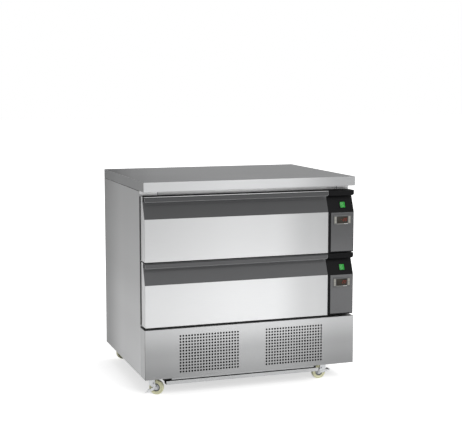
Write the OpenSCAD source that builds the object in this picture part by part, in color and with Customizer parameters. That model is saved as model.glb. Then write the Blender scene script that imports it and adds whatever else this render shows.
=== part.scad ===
// Refrigerated drawer unit: two insulated drawers under a worktop, on four swivel casters.
// Millimetres, +Z up, the front faces -Y, the origin is on the floor under the middle.

/* [Cabinet] */
// Width of the worktop and cabinet
cabinet_w = 900; // [890:5:1000]
// Depth of the worktop and cabinet
cabinet_d = 700; // [700:5:800]
// Thickness of the worktop
worktop_t = 38; // [30:1:60]
// Width of the flange turned in under the worktop's edge
worktop_return = 22; // [15:1:30]
// Thickness of the stainless sheet
sheet_t = 1.2; // [0.8:0.1:2]
// Depth from the cabinet front to the body frame, drawer fronts included
front_t = 70; // [66:1:80]
// Distance that the drawer fronts stand behind the worktop's edge
face_inset = 1; // [0.5:0.5:4]
// Distance that the drawer fronts and controls stand in from each side
side_inset = 3; // [2:0.5:6]
// Width of the service duct on the right
duct_w = 62; // [50:1:66]
// Thickness of the wall between the chambers and the service duct
duct_wall_t = 88; // [50:1:100]
// Distance that the back panel stands in front of the cabinet back
back_recess = 12; // [11:1:14]

/* [Insulation] */
// Thickness of the left cabinet wall
side_wall_t = 60; // [50:1:66]
// Thickness of the back cabinet wall
back_wall_t = 40; // [34:1:42]
// Thickness of the cabinet floor under the lower drawer
floor_wall_t = 40; // [34:1:46]
// Thickness of the plastic liners
liner_t = 1.5; // [1:0.1:2]

/* [Drawer fronts] */
// Height of each drawer front
drawer_front_h = 257; // [250:1:290]
// Depth of each drawer front without its gasket
front_box_t = 58; // [52:1:62]
// Distance that a drawer front reaches past its chamber, above and below
front_overlap = 20; // [19:0.5:24]
// Gap between the worktop and the upper drawer front
gap_top = 19; // [12:1:30]
// Gap between the two drawer fronts
gap_mid = 4; // [3:0.5:12]
// Gap between the lower drawer front and the plinth
gap_low = 10; // [6:0.5:20]
// Width of the gasket
gasket_w = 14; // [10:0.5:15]
// Distance from the chamber's edge to the gasket
gasket_margin = 3; // [2:0.5:4]
// Gap between the gasket and the body frame when shut
gasket_gap = 0.3; // [0.2:0.1:0.8]

/* [Grip profiles] */
// Height of the grip profile
grip_h = 88; // [75:1:100]
// Height of the pull lip
lip_h = 21; // [16:1:26]
// Thickness of the pull lip
lip_t = 3; // [2:0.5:4]
// Depth of the finger recess behind the lip
recess_d = 27; // [24:1:32]
// Thickness of the grip profile, measured front to back
grip_t = 2.5; // [1.5:0.5:4]
// Radius of the lip's lower corners
lip_corner_r = 8; // [4:1:12]

/* [Pans] */
// Depth of the pan's inside
pan_h = 150; // [65:5:160]
// Thickness of the pan's sheet
pan_t = 1; // [0.8:0.1:1.5]
// Width of the pan's rim
pan_rim_w = 12; // [10:0.5:14]
// Radius of the pan's corners
pan_corner_r = 25; // [15:1:40]
// Height of the pan's rim over the chamber floor
pan_rim_z = 190; // [175:1:195]

/* [Slides] */
// Space beside the pan for the slide and the frame
slide_space = 20; // [20:0.5:24]
// Height of the outer slide member
slide_h = 45; // [40:1:52]
// Height of the slide's middle line over the chamber floor
slide_z = 115; // [90:1:130]
// Thickness of the slide's steel
slide_t = 1.5; // [1:0.1:1.8]
// Width of the closed slide
slide_w = 13; // [12.5:0.1:13.5]
// Running gap between the slide members
slide_gap = 0.5; // [0.3:0.1:0.8]
// Distance from the slides' rear end to the chamber's back wall
slide_rear = 26; // [22:1:60]
// Thickness of the drawer frame's side plates
frame_t = 1.5; // [1:0.1:2]

/* [Controls] */
// Width of the control housing
ctrl_w = 113; // [110:1:113]
// Gap between the drawer fronts and the control housings
ctrl_gap = 3; // [2:0.5:3]
// Wall thickness of the control housing
ctrl_wall = 3; // [2.5:0.1:4]
// Distance that the control housing stands behind the drawer fronts
ctrl_setback = 3; // [2.5:0.5:4]
// Width of the black strip left of the grey plate
strip_w = 11; // [8:0.5:13]
// Height of the grey plate
plate_h = 162; // [150:1:164]
// Distance from the housing's lower edge to the plate
plate_z = 4; // [3:0.5:6]
// Thickness of the grey plate
plate_t = 1.5; // [1:0.1:2]
// Width of the controller's bezel
bezel_w = 77; // [74:1:84]
// Height of the controller's bezel
bezel_h = 41; // [34:1:44]
// Thickness of the controller's bezel
bezel_t = 2.5; // [1.5:0.5:2.5]
// Height of the controller's middle over the housing's lower edge
bezel_z = 135; // [120:1:140]
// Width of the controller's display window
window_w = 49; // [40:1:52]
// Height of the controller's display window
window_h = 29; // [24:1:30]
// Depth of the controller's body behind the plate
controller_d = 45; // [40:1:50]
// Width of the lit rocker
rocker_w = 22; // [16:0.5:24]
// Height of the lit rocker
rocker_h = 24; // [18:0.5:25]
// Clearance around the rocker
rocker_gap = 1; // [0.8:0.1:1.5]
// Width of the rocker's frame
rocker_rim = 2.5; // [2:0.5:3]
// Distance from the controller's middle to the rocker's middle, to the right
rocker_right = 5; // [0:1:8]
// Distance from the slope's middle down to the rocker's middle
rocker_down = 7; // [0:1:10]

/* [Plinth] */
// Height of the plinth panel
plinth_h = 200; // [195:1:240]
// Number of holes in a row of one grille
grille_cols = 21; // [5:2:21]
// Number of rows of holes in one grille
grille_rows = 13; // [3:1:13]
// Distance between the grille's holes
grille_pitch = 12.1; // [9:0.1:12.5]
// Diameter of the grille's holes
grille_hole_d = 8; // [4:0.5:8.5]
// Distance from the cabinet's middle to the middle of each grille
grille_x = 183; // [160:1:190]
// Distance from the plinth's top to the upper row of holes
grille_drop = 31; // [20:1:35]

/* [Chassis] */
// Height of the chassis rails
rail_h = 28; // [26:1:32]
// Depth of the chassis rails
rail_d = 30; // [24:1:40]
// Thickness of the chassis rails
rail_t = 2; // [1.5:0.5:3]
// Height of the front rail's upper lip
rail_lip_top = 9; // [6:0.5:10]
// Height of the front rail's lower lip
rail_lip_low = 14.5; // [6:0.5:15.5]
// Distance from the plinth's front to the front rail
rail_inset = 12; // [6:1:20]
// Distance from the insulated body's sides to the chassis
rail_side = 90; // [88:1:110]
// Length cut off each end of the front rail's upper lip
rail_notch = 22; // [5:1:40]

/* [Casters] */
// Height from the floor to the cabinet
caster_h = 75; // [74:1:90]
// Diameter of the wheels
wheel_d = 60; // [50:1:61]
// Width of the wheels
wheel_w = 18; // [14:1:20]
// Distance from the swivel axis to the wheel's axle
trail = 24; // [20:1:26]
// Distance from the insulated body's sides to the swivel axes
caster_side = 42; // [40:1:50]
// Distance from the cabinet front to the front swivel axes
caster_front = 70; // [60:1:76]
// Distance from the cabinet back to the rear swivel axes
caster_back = 45; // [45:1:60]
// Diameter of the fork's crown
crown_d = 48; // [44:1:50]
// Thickness of the fork's sheet
fork_t = 2.5; // [2:0.1:3]
// Diameter of the axles
axle_d = 6; // [5:0.5:8]
// Diameter of the king pins
king_d = 8; // [6:0.5:10]
// Radial clearance of the turning parts on their pins
turn_gap = 0.05; // [0.03:0.01:0.1]
// Side length of the caster's top plate
caster_plate_w = 60; // [56:1:70]
// Thickness of the caster's top plate
caster_plate_t = 2.5; // [2:0.1:3]

/* [Cooling] */
// Diameter of the compressors
compressor_d = 150; // [120:1:160]
// Height of the compressors with their feet
compressor_h = 168; // [140:1:172]
// Distance from the cabinet's middle plane to the compressors' axes, towards the front
compressor_y = 20; // [0:1:40]
// Width of the condensers
condenser_w = 250; // [200:5:260]
// Height of the condensers
condenser_h = 158; // [150:1:165]
// Thickness of the condensers
condenser_t = 44; // [36:1:50]
// Distance from the plinth's front to the condensers
condenser_y = 24; // [20:1:30]
// Number of fins on a condenser
condenser_fins = 30; // [10:1:36]
// Diameter of the condenser fans
fan_d = 140; // [120:1:144]
// Depth of the condenser fan's shroud
shroud_d = 30; // [26:1:34]
// Depth of the space for the evaporators behind the pans
evaporator_space = 40; // [38:1:60]
// Width of the evaporators
evaporator_w = 430; // [300:5:440]
// Height of the evaporators
evaporator_h = 150; // [120:1:160]
// Number of fins on an evaporator
evaporator_fins = 26; // [10:1:32]
// Diameter of the evaporator fans
small_fan_d = 84; // [70:1:86]
// Outer diameter of the suction lines
suction_d = 9.5; // [8:0.5:10]
// Outer diameter of the discharge and liquid lines
liquid_d = 6; // [5:0.5:7]

/* [Hidden] */
$fn = 48;

// Small margin that lets a cut run past a face
cut = 1;
// Number of each drawer: 0 is the lower one, 1 the upper one
LOWER = 0;
UPPER = 1;

// Outer planes of the cabinet
x_left = -cabinet_w / 2;
x_right = cabinet_w / 2;
y_front = -cabinet_d / 2;
y_back = cabinet_d / 2;
y_face = y_front + face_inset;
y_frame = y_front + front_t;
y_frame_back = y_frame + sheet_t;
y_panel = y_back - back_recess;
y_panel_in = y_panel - sheet_t;
x_left_in = x_left + sheet_t;
x_right_in = x_right - sheet_t;
x_duct = x_right - duct_w;

// Heights, from the floor up
z_base = caster_h;
z_plinth = z_base + plinth_h;
z_lower = z_plinth + gap_low;
z_work = z_lower + 2 * drawer_front_h + gap_mid + gap_top;
z_top = z_work + worktop_t;
z_floor = z_lower + front_overlap - floor_wall_t;
function front_z(level) = z_lower + level * (drawer_front_h + gap_mid);
function chamber_z(level) = front_z(level) + front_overlap;

// Chambers
chamber_h = drawer_front_h - 2 * front_overlap;
chamber_x0 = x_left + side_wall_t;
chamber_x1 = x_duct - duct_wall_t;
chamber_y1 = y_panel - back_wall_t;

// Drawer fronts and controls
ctrl_x1 = x_right - side_inset;
ctrl_x0 = ctrl_x1 - ctrl_w;
drawer_x0 = x_left + side_inset;
drawer_x1 = ctrl_x0 - ctrl_gap;
y_inner = y_face + front_box_t;
grip_z = drawer_front_h - grip_h;
lip_z = drawer_front_h - lip_h;
slope = recess_d / (grip_h - lip_h);
slope_angle = atan(slope);
gasket_t = y_frame - y_inner - gasket_gap;

// Pans and their frames
pan_gap_front = 4;
cover_gap = 4;
cover_y = chamber_y1 - evaporator_space;
pan_y0 = y_frame + pan_gap_front;
pan_y1 = cover_y - cover_gap;
pan_x0 = chamber_x0 + slide_space;
pan_x1 = chamber_x1 - slide_space;
ledge_in = 10;
frame_plate_h = 78;
rear_bar_h = 20;
rim_gap = 1;
pan_rim_r = 6;

// Evaporators and their covers behind the pans
cover_side = slide_w + 7;
cover_edge = 14;
fan_frame_w = small_fan_d + 8;
fan_frame_d = 22;
fan_frame_side = 14;
fan_frame_back = 3;
small_fan_x = chamber_x0 + cover_side + fan_frame_side + fan_frame_w / 2;
coil_side = 20;
evaporator_x0 = small_fan_x + fan_frame_w / 2 + coil_side;
evaporator_x1 = evaporator_x0 + evaporator_w;
evaporator_gap = 4;
evaporator_t = 28;
function small_fan_z(level) = chamber_z(level) + chamber_h / 2;

// Casters and chassis, centred under the insulated body
axis_left = x_left + caster_side;
axis_right = x_duct - caster_side;
axis_front = y_front + caster_front;
axis_rear = y_back - caster_back;
front_turns = [-35, 180];
rear_turns = [15, 150];
rail_x0 = x_left + rail_side;
rail_x1 = x_duct - rail_side;
rail_y0 = y_front + rail_inset;
rail_y1 = axis_rear + 10;
// The side and rear rails end short of the circle that the wheels swing in
rear_rail_x0 = max(rail_x0, axis_left + trail + wheel_d / 2);
rear_rail_x1 = min(rail_x1, axis_right - trail - wheel_d / 2);
raceway_t = 3;
raceway_d = 36;
part_gap = 0.3;
crown_z = z_base - caster_plate_t - raceway_t - part_gap;
crown_t = 3;
king_head_t = 2;
king_head_d = king_d + 6;
axle_z = wheel_d / 2;
wheel_side_gap = 1.5;
leg_y = wheel_w / 2 + wheel_side_gap;
lever_t = 1.5;
lever_y = leg_y + fork_t + part_gap;
nut_y = lever_y + lever_t + part_gap;
nut_t = 3;
nut_d = 11;

// Machine compartment
condenser_y0 = y_front + condenser_y;
condenser_y1 = condenser_y0 + condenser_t;
condenser_foot = 8;
condenser_z0 = z_base + condenser_foot;
shroud_t = 1.2;
shroud_over = 2;
shroud_foot_w = 15;
shroud_foot_d = 12;
shroud_foot_in = 20;
shroud_y1 = condenser_y1 + shroud_d;
fan_z = condenser_z0 + condenser_h / 2;
motor_d = 62;
motor_l = 55;
shaft_d = 6;
fan_hole_gap = 4;
arm_t = 2;
arm_w = 12;
arm_over = 6;
shaft_in = 18;
shaft_bore = 20;
motor_y0 = shroud_y1 + arm_t;

// A block between two opposite corners
module block(xa, xb, ya, yb, za, zb) {
    translate([xa, ya, za])
        cube([xb - xa, yb - ya, zb - za]);
}

// A side view, drawn as (y, z), drawn out along X
module along_x(xa, xb) {
    translate([xa, 0, 0])
        rotate([90, 0, 90])
            linear_extrude(xb - xa)
                children();
}

// A front view, drawn as (x, z), drawn out along Y
module along_y(ya, yb) {
    translate([0, yb, 0])
        rotate([90, 0, 0])
            linear_extrude(yb - ya)
                children();
}

// A straight round bar along Y
module bar_y(x, z, ya, yb, d) {
    translate([x, ya, z])
        rotate([-90, 0, 0])
            cylinder(d = d, h = yb - ya);
}

// A straight round bar along X
module bar_x(y, z, xa, xb, d) {
    translate([xa, y, z])
        rotate([0, 90, 0])
            cylinder(d = d, h = xb - xa);
}

// A rectangle with round corners, from (xa, za) to (xb, zb)
module round_rect(xa, xb, za, zb, r) {
    translate([xa + r, za])
        square([xb - xa - 2 * r, zb - za]);
    translate([xa, za + r])
        square([xb - xa, zb - za - 2 * r]);
    for (x = [xa + r, xb - r], z = [za + r, zb - r])
        translate([x, z])
            circle(r = r);
}

// A round tube along straight runs, with a brazed ball joint at each bend
joint_ratio = 1.35;
module tube_run(points, d) {
    for (i = [0 : len(points) - 2])
        tube_leg(points[i], points[i + 1], d);
    for (i = [1 : len(points) - 2])
        translate(points[i])
            sphere(d = d * joint_ratio);
}
module tube_leg(a, b, d) {
    v = b - a;
    length = norm(v);
    translate(a)
        rotate([0, acos(v[2] / length), atan2(v[1], v[0])])
            cylinder(d = d, h = length);
}

// Worktop

module worktop() {
    color("silver")
        difference() {
            block(x_left, x_right, y_front, y_back, z_work, z_top);
            block(x_left + sheet_t, x_right - sheet_t, y_front + sheet_t, y_back - sheet_t,
                z_work + sheet_t, z_top - sheet_t);
            block(x_left + worktop_return, x_right - worktop_return,
                y_front + worktop_return, y_back - worktop_return,
                z_work - cut, z_work + 2 * sheet_t);
        }
}

module worktop_core() {
    color("burlywood")
        block(x_left + sheet_t, x_right - sheet_t, y_front + sheet_t, y_back - sheet_t,
            z_work + sheet_t, z_top - sheet_t);
}

// Cabinet body

rear_flange_w = 24;

// The left panel, with the flange that holds the back panel
module side_panel() {
    difference() {
        union() {
            block(x_left, x_left_in, y_frame, y_back, z_base, z_work);
            block(x_left, x_left + rear_flange_w, y_panel, y_panel + sheet_t, z_base, z_work);
        }
        screw_holes();
    }
}

module left_side_panel() {
    color("lightgray")
        side_panel();
}

module right_side_panel() {
    color("lightgray")
        mirror([1, 0, 0])
            side_panel();
}

screw_head_d = 8;
screw_head_t = 2;
screw_d = 4;
screw_inset = 12;
screw_rows = 4;
screw_z0 = z_base + 60;
screw_z1 = z_work - 40;

// Places its children at each screw of the back panel, on the flange's face
module at_screws() {
    for (x = [x_left + screw_inset, x_right - screw_inset], i = [0 : screw_rows - 1])
        translate([x, y_panel + sheet_t, screw_z0 + i * (screw_z1 - screw_z0) / (screw_rows - 1)])
            children();
}

module screw_holes() {
    at_screws()
        bar_y(0, 0, -2 * sheet_t - cut, cut, screw_d);
}

vent_cols = 12;
vent_w = 5;
vent_pitch = 16;
vent_h = 110;
vent_z = z_base + 35;
gland_x = x_left + 130;
gland_z = z_base + 60;
gland_hole_d = 16;

module back_panel() {
    color("gainsboro")
        difference() {
            block(x_left_in, x_right_in, y_panel_in, y_panel, z_base, z_work);
            for (side = [-1, 1], i = [0 : vent_cols - 1])
                translate([side * grille_x + (i - (vent_cols - 1) / 2) * vent_pitch - vent_w / 2,
                    y_panel_in - cut, vent_z])
                    cube([vent_w, sheet_t + 2 * cut, vent_h]);
            bar_y(gland_x, gland_z, y_panel_in - cut, y_panel + cut, gland_hole_d);
            screw_holes();
        }
}

seam_w = 1;
seam_x = 75;
seam_z = 12;

module front_frame() {
    color("lightgray") {
        difference() {
            block(x_left_in, x_right_in, y_frame, y_frame_back, z_floor - sheet_t, z_work);
            for (level = [LOWER, UPPER])
                block(chamber_x0, chamber_x1, y_frame - cut, y_frame_back + cut,
                    chamber_z(level), chamber_z(level) + chamber_h);
            for (x = [x_left + seam_x, x_duct])
                block(x, x + seam_w, y_frame - cut, y_frame_back + cut,
                    z_work - gap_top - seam_z, z_work + cut);
        }
        difference() {
            block(x_duct - sheet_t, x_duct, y_frame_back, y_panel_in, z_floor, z_work);
            line_holes(suction_d + 2 * line_gap);
        }
    }
}

duct_hole_margin = 14;

module cabinet_floor() {
    color("gainsboro")
        difference() {
            block(x_left_in, x_right_in, y_frame_back, y_panel_in, z_floor - sheet_t, z_floor);
            block(x_duct + duct_hole_margin, x_right_in - duct_hole_margin,
                y_frame_back + duct_hole_margin, y_panel_in - duct_hole_margin,
                z_floor - sheet_t - cut, z_floor + cut);
        }
}

// Places where the refrigerant lines pass from the duct into a chamber
line_gap = 1;
line_y = chamber_y1 - 18;
suction_dz = 120;
liquid_dz = 80;
module line_holes(d) {
    for (level = [LOWER, UPPER], dz = [suction_dz, liquid_dz])
        bar_x(line_y, chamber_z(level) + dz, chamber_x1 - cut, x_duct + cut, d);
}

module cabinet_foam() {
    color("khaki")
        difference() {
            block(x_left_in, x_duct - sheet_t, y_frame_back, y_panel_in, z_floor, z_work);
            for (level = [LOWER, UPPER])
                block(chamber_x0 - liner_t, chamber_x1 + liner_t,
                    y_frame_back - cut, chamber_y1 + liner_t,
                    chamber_z(level) - liner_t, chamber_z(level) + chamber_h + liner_t);
            line_holes(suction_d + 2 * line_gap);
        }
}

module liner(level) {
    z = chamber_z(level);
    color("whitesmoke")
        difference() {
            block(chamber_x0 - liner_t, chamber_x1 + liner_t, y_frame_back,
                chamber_y1 + liner_t, z - liner_t, z + chamber_h + liner_t);
            block(chamber_x0, chamber_x1, y_frame_back - cut, chamber_y1, z, z + chamber_h);
            line_holes(suction_d + 2 * line_gap);
        }
}
module upper_liner() {
    liner(UPPER);
}
module lower_liner() {
    liner(LOWER);
}

// Base

pan_flange_h = 18;

module base_pan() {
    color("silver")
        difference() {
            block(x_left_in, x_right_in, y_face + sheet_t, y_panel_in,
                z_base, z_base + pan_flange_h);
            block(x_left_in + sheet_t, x_right_in - sheet_t, y_face + 2 * sheet_t,
                y_panel_in - sheet_t, z_base + sheet_t, z_base + pan_flange_h + cut);
            for (x = [axis_left, axis_right], y = [axis_front, axis_rear],
                sx = [-1, 1], sy = [-1, 1])
                translate([x + sx * bolt_place, y + sy * bolt_place, z_base - cut])
                    cylinder(d = bolt_d, h = sheet_t + 2 * cut);
        }
}

// A channel open to -Y, with an upper and a lower lip
module channel_profile(lips) {
    difference() {
        square([rail_d, rail_h]);
        translate([rail_t, rail_t])
            square([rail_d - 2 * rail_t, rail_h - 2 * rail_t]);
        translate([-cut, lips ? rail_lip_low : rail_t])
            square([rail_t + 2 * cut, rail_h - (lips ? rail_lip_top + rail_lip_low : 2 * rail_t)]);
    }
}

module chassis_rails() {
    z = z_base - rail_h;
    color("lightgray") {
        difference() {
            translate([0, rail_y0, z])
                along_x(rail_x0, rail_x1)
                    channel_profile(true);
            for (x = [rail_x0 - cut, rail_x1 - rail_notch])
                block(x, x + rail_notch + cut, rail_y0 - cut, rail_y0 + rail_t,
                    z_base - rail_lip_top, z_base + cut);
        }
        translate([0, rail_y1, z])
            mirror([0, 1, 0])
                along_x(rear_rail_x0, rear_rail_x1)
                    channel_profile(true);
        for (side = [0, 1])
            translate([side == 0 ? rear_rail_x0 : rear_rail_x1, 0, z])
                mirror([side, 0, 0])
                    along_y(rail_y0 + rail_d, rail_y1 - rail_d)
                        channel_profile(false);
    }
}

module grille_panel() {
    color("darkgray")
        difference() {
            block(x_left, x_right, y_face, y_frame, z_base, z_plinth);
            block(x_left + sheet_t, x_right - sheet_t, y_face + sheet_t, y_frame + cut,
                z_base - cut, z_plinth - sheet_t);
            along_y(y_face - cut, y_face + sheet_t + cut)
                for (side = [-1, 1], i = [0 : grille_cols - 1], j = [0 : grille_rows - 1])
                    translate([side * grille_x + (i - (grille_cols - 1) / 2) * grille_pitch,
                        z_plinth - grille_drop - j * grille_pitch])
                        circle(d = grille_hole_d, $fn = 16);
        }
}

module panel_screws() {
    color("silver")
        at_screws() {
            bar_y(0, 0, 0, screw_head_t, screw_head_d);
            bar_y(0, 0, -2 * sheet_t, cut, screw_d);
        }
}

gland_d = 22;
gland_nut_d = 26;
gland_nut_t = 4;
gland_out = 9;
gland_in = 16;
cord_hole_d = 8;

module cable_gland() {
    color("dimgray")
        difference() {
            union() {
                bar_y(gland_x, gland_z, y_panel, y_panel + gland_out, gland_d);
                bar_y(gland_x, gland_z, y_panel_in - gland_in, y_panel + cut, gland_hole_d);
                translate([gland_x, y_panel_in, gland_z])
                    rotate([90, 0, 0])
                        cylinder(d = gland_nut_d, h = gland_nut_t, $fn = 6);
            }
            bar_y(gland_x, gland_z, y_panel_in - gland_in - cut, y_panel + gland_out + cut,
                cord_hole_d);
        }
}

// Control modules

// Side view of a front with a sloped upper part, its front shifted back above the slope's foot
module front_profile(depth, shift) {
    polygon([[0, 0], [0, grip_z], [shift, grip_z], [shift + recess_d, lip_z],
        [shift + recess_d, drawer_front_h], [depth, drawer_front_h], [depth, 0]]);
}

// The inside of the same profile, with walls of thickness t and an open back
module front_cavity(depth, shift, t) {
    s = t / cos(slope_angle);
    e = (s - t) / slope;
    start = max(t, shift + t);
    polygon([[t, t], [t, grip_z - (shift > 0 ? t : e)], [start, grip_z - (shift > 0 ? t : e)],
        [recess_d + start, lip_z - e], [recess_d + start, drawer_front_h - t],
        [depth + cut, drawer_front_h - t], [depth + cut, t]]);
}

// The pull lip: its top plate and its front wall with round lower corners
module lip(xa, xb, depth) {
    block(xa, xb, 0, depth, drawer_front_h - lip_t, drawer_front_h);
    along_y(0, lip_t) {
        round_rect(xa, xb, lip_z, drawer_front_h, lip_corner_r);
        translate([xa, lip_z + lip_corner_r])
            square([xb - xa, lip_h - lip_corner_r]);
    }
}

y_ctrl = y_face + ctrl_setback;
ctrl_depth = y_frame - y_ctrl;
plate_x0 = ctrl_x0 + strip_w;
plate_edge = 2;
plate_x1 = ctrl_x1 - plate_edge;
controller_x = (plate_x0 + plate_x1) / 2;
controller_w = bezel_w - 6;
controller_h = bezel_h - 12;
bezel_r = 2;
window_in = 1;
rocker_out_w = rocker_w + 2 * rocker_gap;
rocker_out_h = rocker_h + 2 * rocker_gap;
rocker_pin_d = 2;
rocker_pin_in = 4;
rocker_frame_d = 12;
rocker_rim_out = 1;

// Places its children at the rocker on the sloped face, outward as -Y
module on_slope(level) {
    translate([controller_x, y_ctrl + recess_d / 2,
        front_z(level) + grip_z + (grip_h - lip_h) / 2])
        rotate([-slope_angle, 0, 0])
            translate([rocker_right, 0, -rocker_down])
                children();
}

module control_housing(level) {
    color("#1c1c1e")
        difference() {
            union() {
                translate([0, y_ctrl, front_z(level)]) {
                    difference() {
                        along_x(ctrl_x0, ctrl_x1)
                            front_profile(ctrl_depth, 0);
                        along_x(ctrl_x0 + ctrl_wall, ctrl_x1 - ctrl_wall)
                            front_cavity(ctrl_depth, 0, ctrl_wall);
                    }
                    lip(ctrl_x0, ctrl_x1, recess_d + ctrl_wall);
                }
                on_slope(level)
                    block(-rocker_out_w / 2 - rocker_rim, rocker_out_w / 2 + rocker_rim,
                        -rocker_rim_out, rocker_frame_d,
                        -rocker_out_h / 2 - rocker_rim, rocker_out_h / 2 + rocker_rim);
            }
            on_slope(level) {
                block(-rocker_out_w / 2, rocker_out_w / 2, -rocker_rim_out - cut,
                    rocker_frame_d + cut, -rocker_out_h / 2, rocker_out_h / 2);
                bar_x(rocker_pin_in, 0, -rocker_out_w / 2 - rocker_rim / 2,
                    rocker_out_w / 2 + rocker_rim / 2, rocker_pin_d + 2 * turn_gap);
            }
            block(plate_x0, plate_x1, y_ctrl - cut, y_ctrl + plate_t,
                front_z(level) + plate_z, front_z(level) + plate_z + plate_h);
            controller_hole(level);
        }
}
module upper_control_housing() {
    control_housing(UPPER);
}
module lower_control_housing() {
    control_housing(LOWER);
}

module controller_hole(level) {
    z = front_z(level) + bezel_z;
    block(controller_x - controller_w / 2, controller_x + controller_w / 2, y_ctrl - cut,
        y_ctrl + ctrl_wall + cut, z - controller_h / 2, z + controller_h / 2);
}

module control_plate(level) {
    color("gray")
        difference() {
            block(plate_x0, plate_x1, y_ctrl, y_ctrl + plate_t,
                front_z(level) + plate_z, front_z(level) + plate_z + plate_h);
            controller_hole(level);
        }
}
module upper_control_plate() {
    control_plate(UPPER);
}
module lower_control_plate() {
    control_plate(LOWER);
}

module controller(level) {
    z = front_z(level) + bezel_z;
    color("#2a2a2e")
        difference() {
            union() {
                block(controller_x - controller_w / 2, controller_x + controller_w / 2, y_ctrl,
                    y_ctrl + controller_d, z - controller_h / 2, z + controller_h / 2);
                along_y(y_ctrl - bezel_t, y_ctrl)
                    round_rect(controller_x - bezel_w / 2, controller_x + bezel_w / 2,
                        z - bezel_h / 2, z + bezel_h / 2, bezel_r);
            }
            block(controller_x - window_w / 2, controller_x + window_w / 2,
                y_ctrl - bezel_t - cut, y_ctrl - bezel_t + window_in,
                z - window_h / 2, z + window_h / 2);
        }
    color("#400a0a")
        block(controller_x - window_w / 2, controller_x + window_w / 2,
            y_ctrl - bezel_t + window_in / 2, y_ctrl - bezel_t + window_in,
            z - window_h / 2, z + window_h / 2);
}
module upper_controller() {
    controller(UPPER);
}
module lower_controller() {
    controller(LOWER);
}

rocker_d = 9;
rocker_taper = 3;
rocker_rise = 2.4;
rocker_dip = 0.8;

module rocker(level) {
    color("limegreen")
        on_slope(level) {
            along_x(-rocker_w / 2, rocker_w / 2)
                polygon([[-rocker_rise, -rocker_h / 2], [-rocker_dip, 0],
                    [-rocker_rise, rocker_h / 2], [rocker_d - rocker_taper, rocker_h / 2],
                    [rocker_d, rocker_h / 4], [rocker_d, -rocker_h / 4],
                    [rocker_d - rocker_taper, -rocker_h / 2]]);
            bar_x(rocker_pin_in, 0, -rocker_out_w / 2 - rocker_rim / 2 + part_gap,
                rocker_out_w / 2 + rocker_rim / 2 - part_gap, rocker_pin_d);
        }
}
module upper_rocker() {
    rocker(UPPER);
}
module lower_rocker() {
    rocker(LOWER);
}

// Drawers

module drawer_front(level) {
    color("lightgray")
        translate([0, y_face, front_z(level)])
            difference() {
                along_x(drawer_x0, drawer_x1)
                    front_profile(front_box_t, grip_t);
                along_x(drawer_x0 + sheet_t, drawer_x1 - sheet_t)
                    front_cavity(front_box_t - sheet_t - cut, grip_t, sheet_t);
            }
}
module upper_drawer_front() {
    drawer_front(UPPER);
}
module lower_drawer_front() {
    drawer_front(LOWER);
}

module drawer_foam(level) {
    color("khaki")
        translate([0, y_face, front_z(level)])
            along_x(drawer_x0 + sheet_t, drawer_x1 - sheet_t)
                front_cavity(front_box_t - sheet_t - cut, grip_t, sheet_t);
}
module upper_drawer_foam() {
    drawer_foam(UPPER);
}
module lower_drawer_foam() {
    drawer_foam(LOWER);
}

module drawer_grip(level) {
    back = recess_d + grip_t;
    color("#4a4a4c")
        translate([0, y_face, front_z(level)]) {
            along_x(drawer_x0, drawer_x1)
                polygon([[0, grip_z], [recess_d, lip_z], [recess_d, drawer_front_h],
                    [back, drawer_front_h], [back, lip_z], [grip_t, grip_z]]);
            lip(drawer_x0, drawer_x1, back);
        }
}
module upper_drawer_grip() {
    drawer_grip(UPPER);
}
module lower_drawer_grip() {
    drawer_grip(LOWER);
}

gasket_foot_t = 3;
gasket_bulb_in = 2;

// A ring round a chamber's opening, from the margin inner to the margin outer
module gasket_ring(level, inner, outer, ya, yb) {
    z0 = chamber_z(level);
    z1 = z0 + chamber_h;
    difference() {
        block(chamber_x0 - outer, chamber_x1 + outer, ya, yb, z0 - outer, z1 + outer);
        block(chamber_x0 - inner, chamber_x1 + inner, ya - cut, yb + cut, z0 - inner, z1 + inner);
    }
}

module drawer_gasket(level) {
    outer = gasket_margin + gasket_w;
    color("#303033") {
        gasket_ring(level, gasket_margin, outer, y_inner, y_inner + gasket_foot_t);
        gasket_ring(level, gasket_margin + gasket_bulb_in, outer - gasket_bulb_in, y_inner,
            y_inner + gasket_t);
    }
}
module upper_drawer_gasket() {
    drawer_gasket(UPPER);
}
module lower_drawer_gasket() {
    drawer_gasket(LOWER);
}

// One member of a slide: a channel of height h, its web at x = 0, its flanges w long
module slide_member(h, w, ya, yb) {
    along_y(ya, yb)
        difference() {
            translate([0, -h / 2])
                square([w, h]);
            translate([slide_t, -h / 2 + slide_t])
                square([w, h - 2 * slide_t]);
        }
}

middle_x = slide_t + slide_gap;
middle_h = slide_h - 2 * (slide_t + slide_gap);
inner_h = middle_h - 2 * (slide_t + slide_gap);
member_reach = 3;
slide_y0 = y_frame_back + cut;
slide_y1 = chamber_y1 - slide_rear;

// Places its children at both slides of a drawer, the web against the left chamber wall
module at_slides(level) {
    z = chamber_z(level) + slide_z;
    translate([chamber_x0, 0, z])
        children();
    translate([chamber_x1, 0, z])
        mirror([1, 0, 0])
            children();
}

module outer_slides() {
    color("silver")
        for (level = [LOWER, UPPER])
            at_slides(level)
                slide_member(slide_h, slide_w - member_reach, slide_y0, slide_y1);
}

module middle_slides(level) {
    color("silver")
        at_slides(level)
            translate([middle_x, 0, 0])
                slide_member(middle_h, slide_w - member_reach - slide_gap, slide_y0, slide_y1);
}
module upper_middle_slides() {
    middle_slides(UPPER);
}
module lower_middle_slides() {
    middle_slides(LOWER);
}

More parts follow.
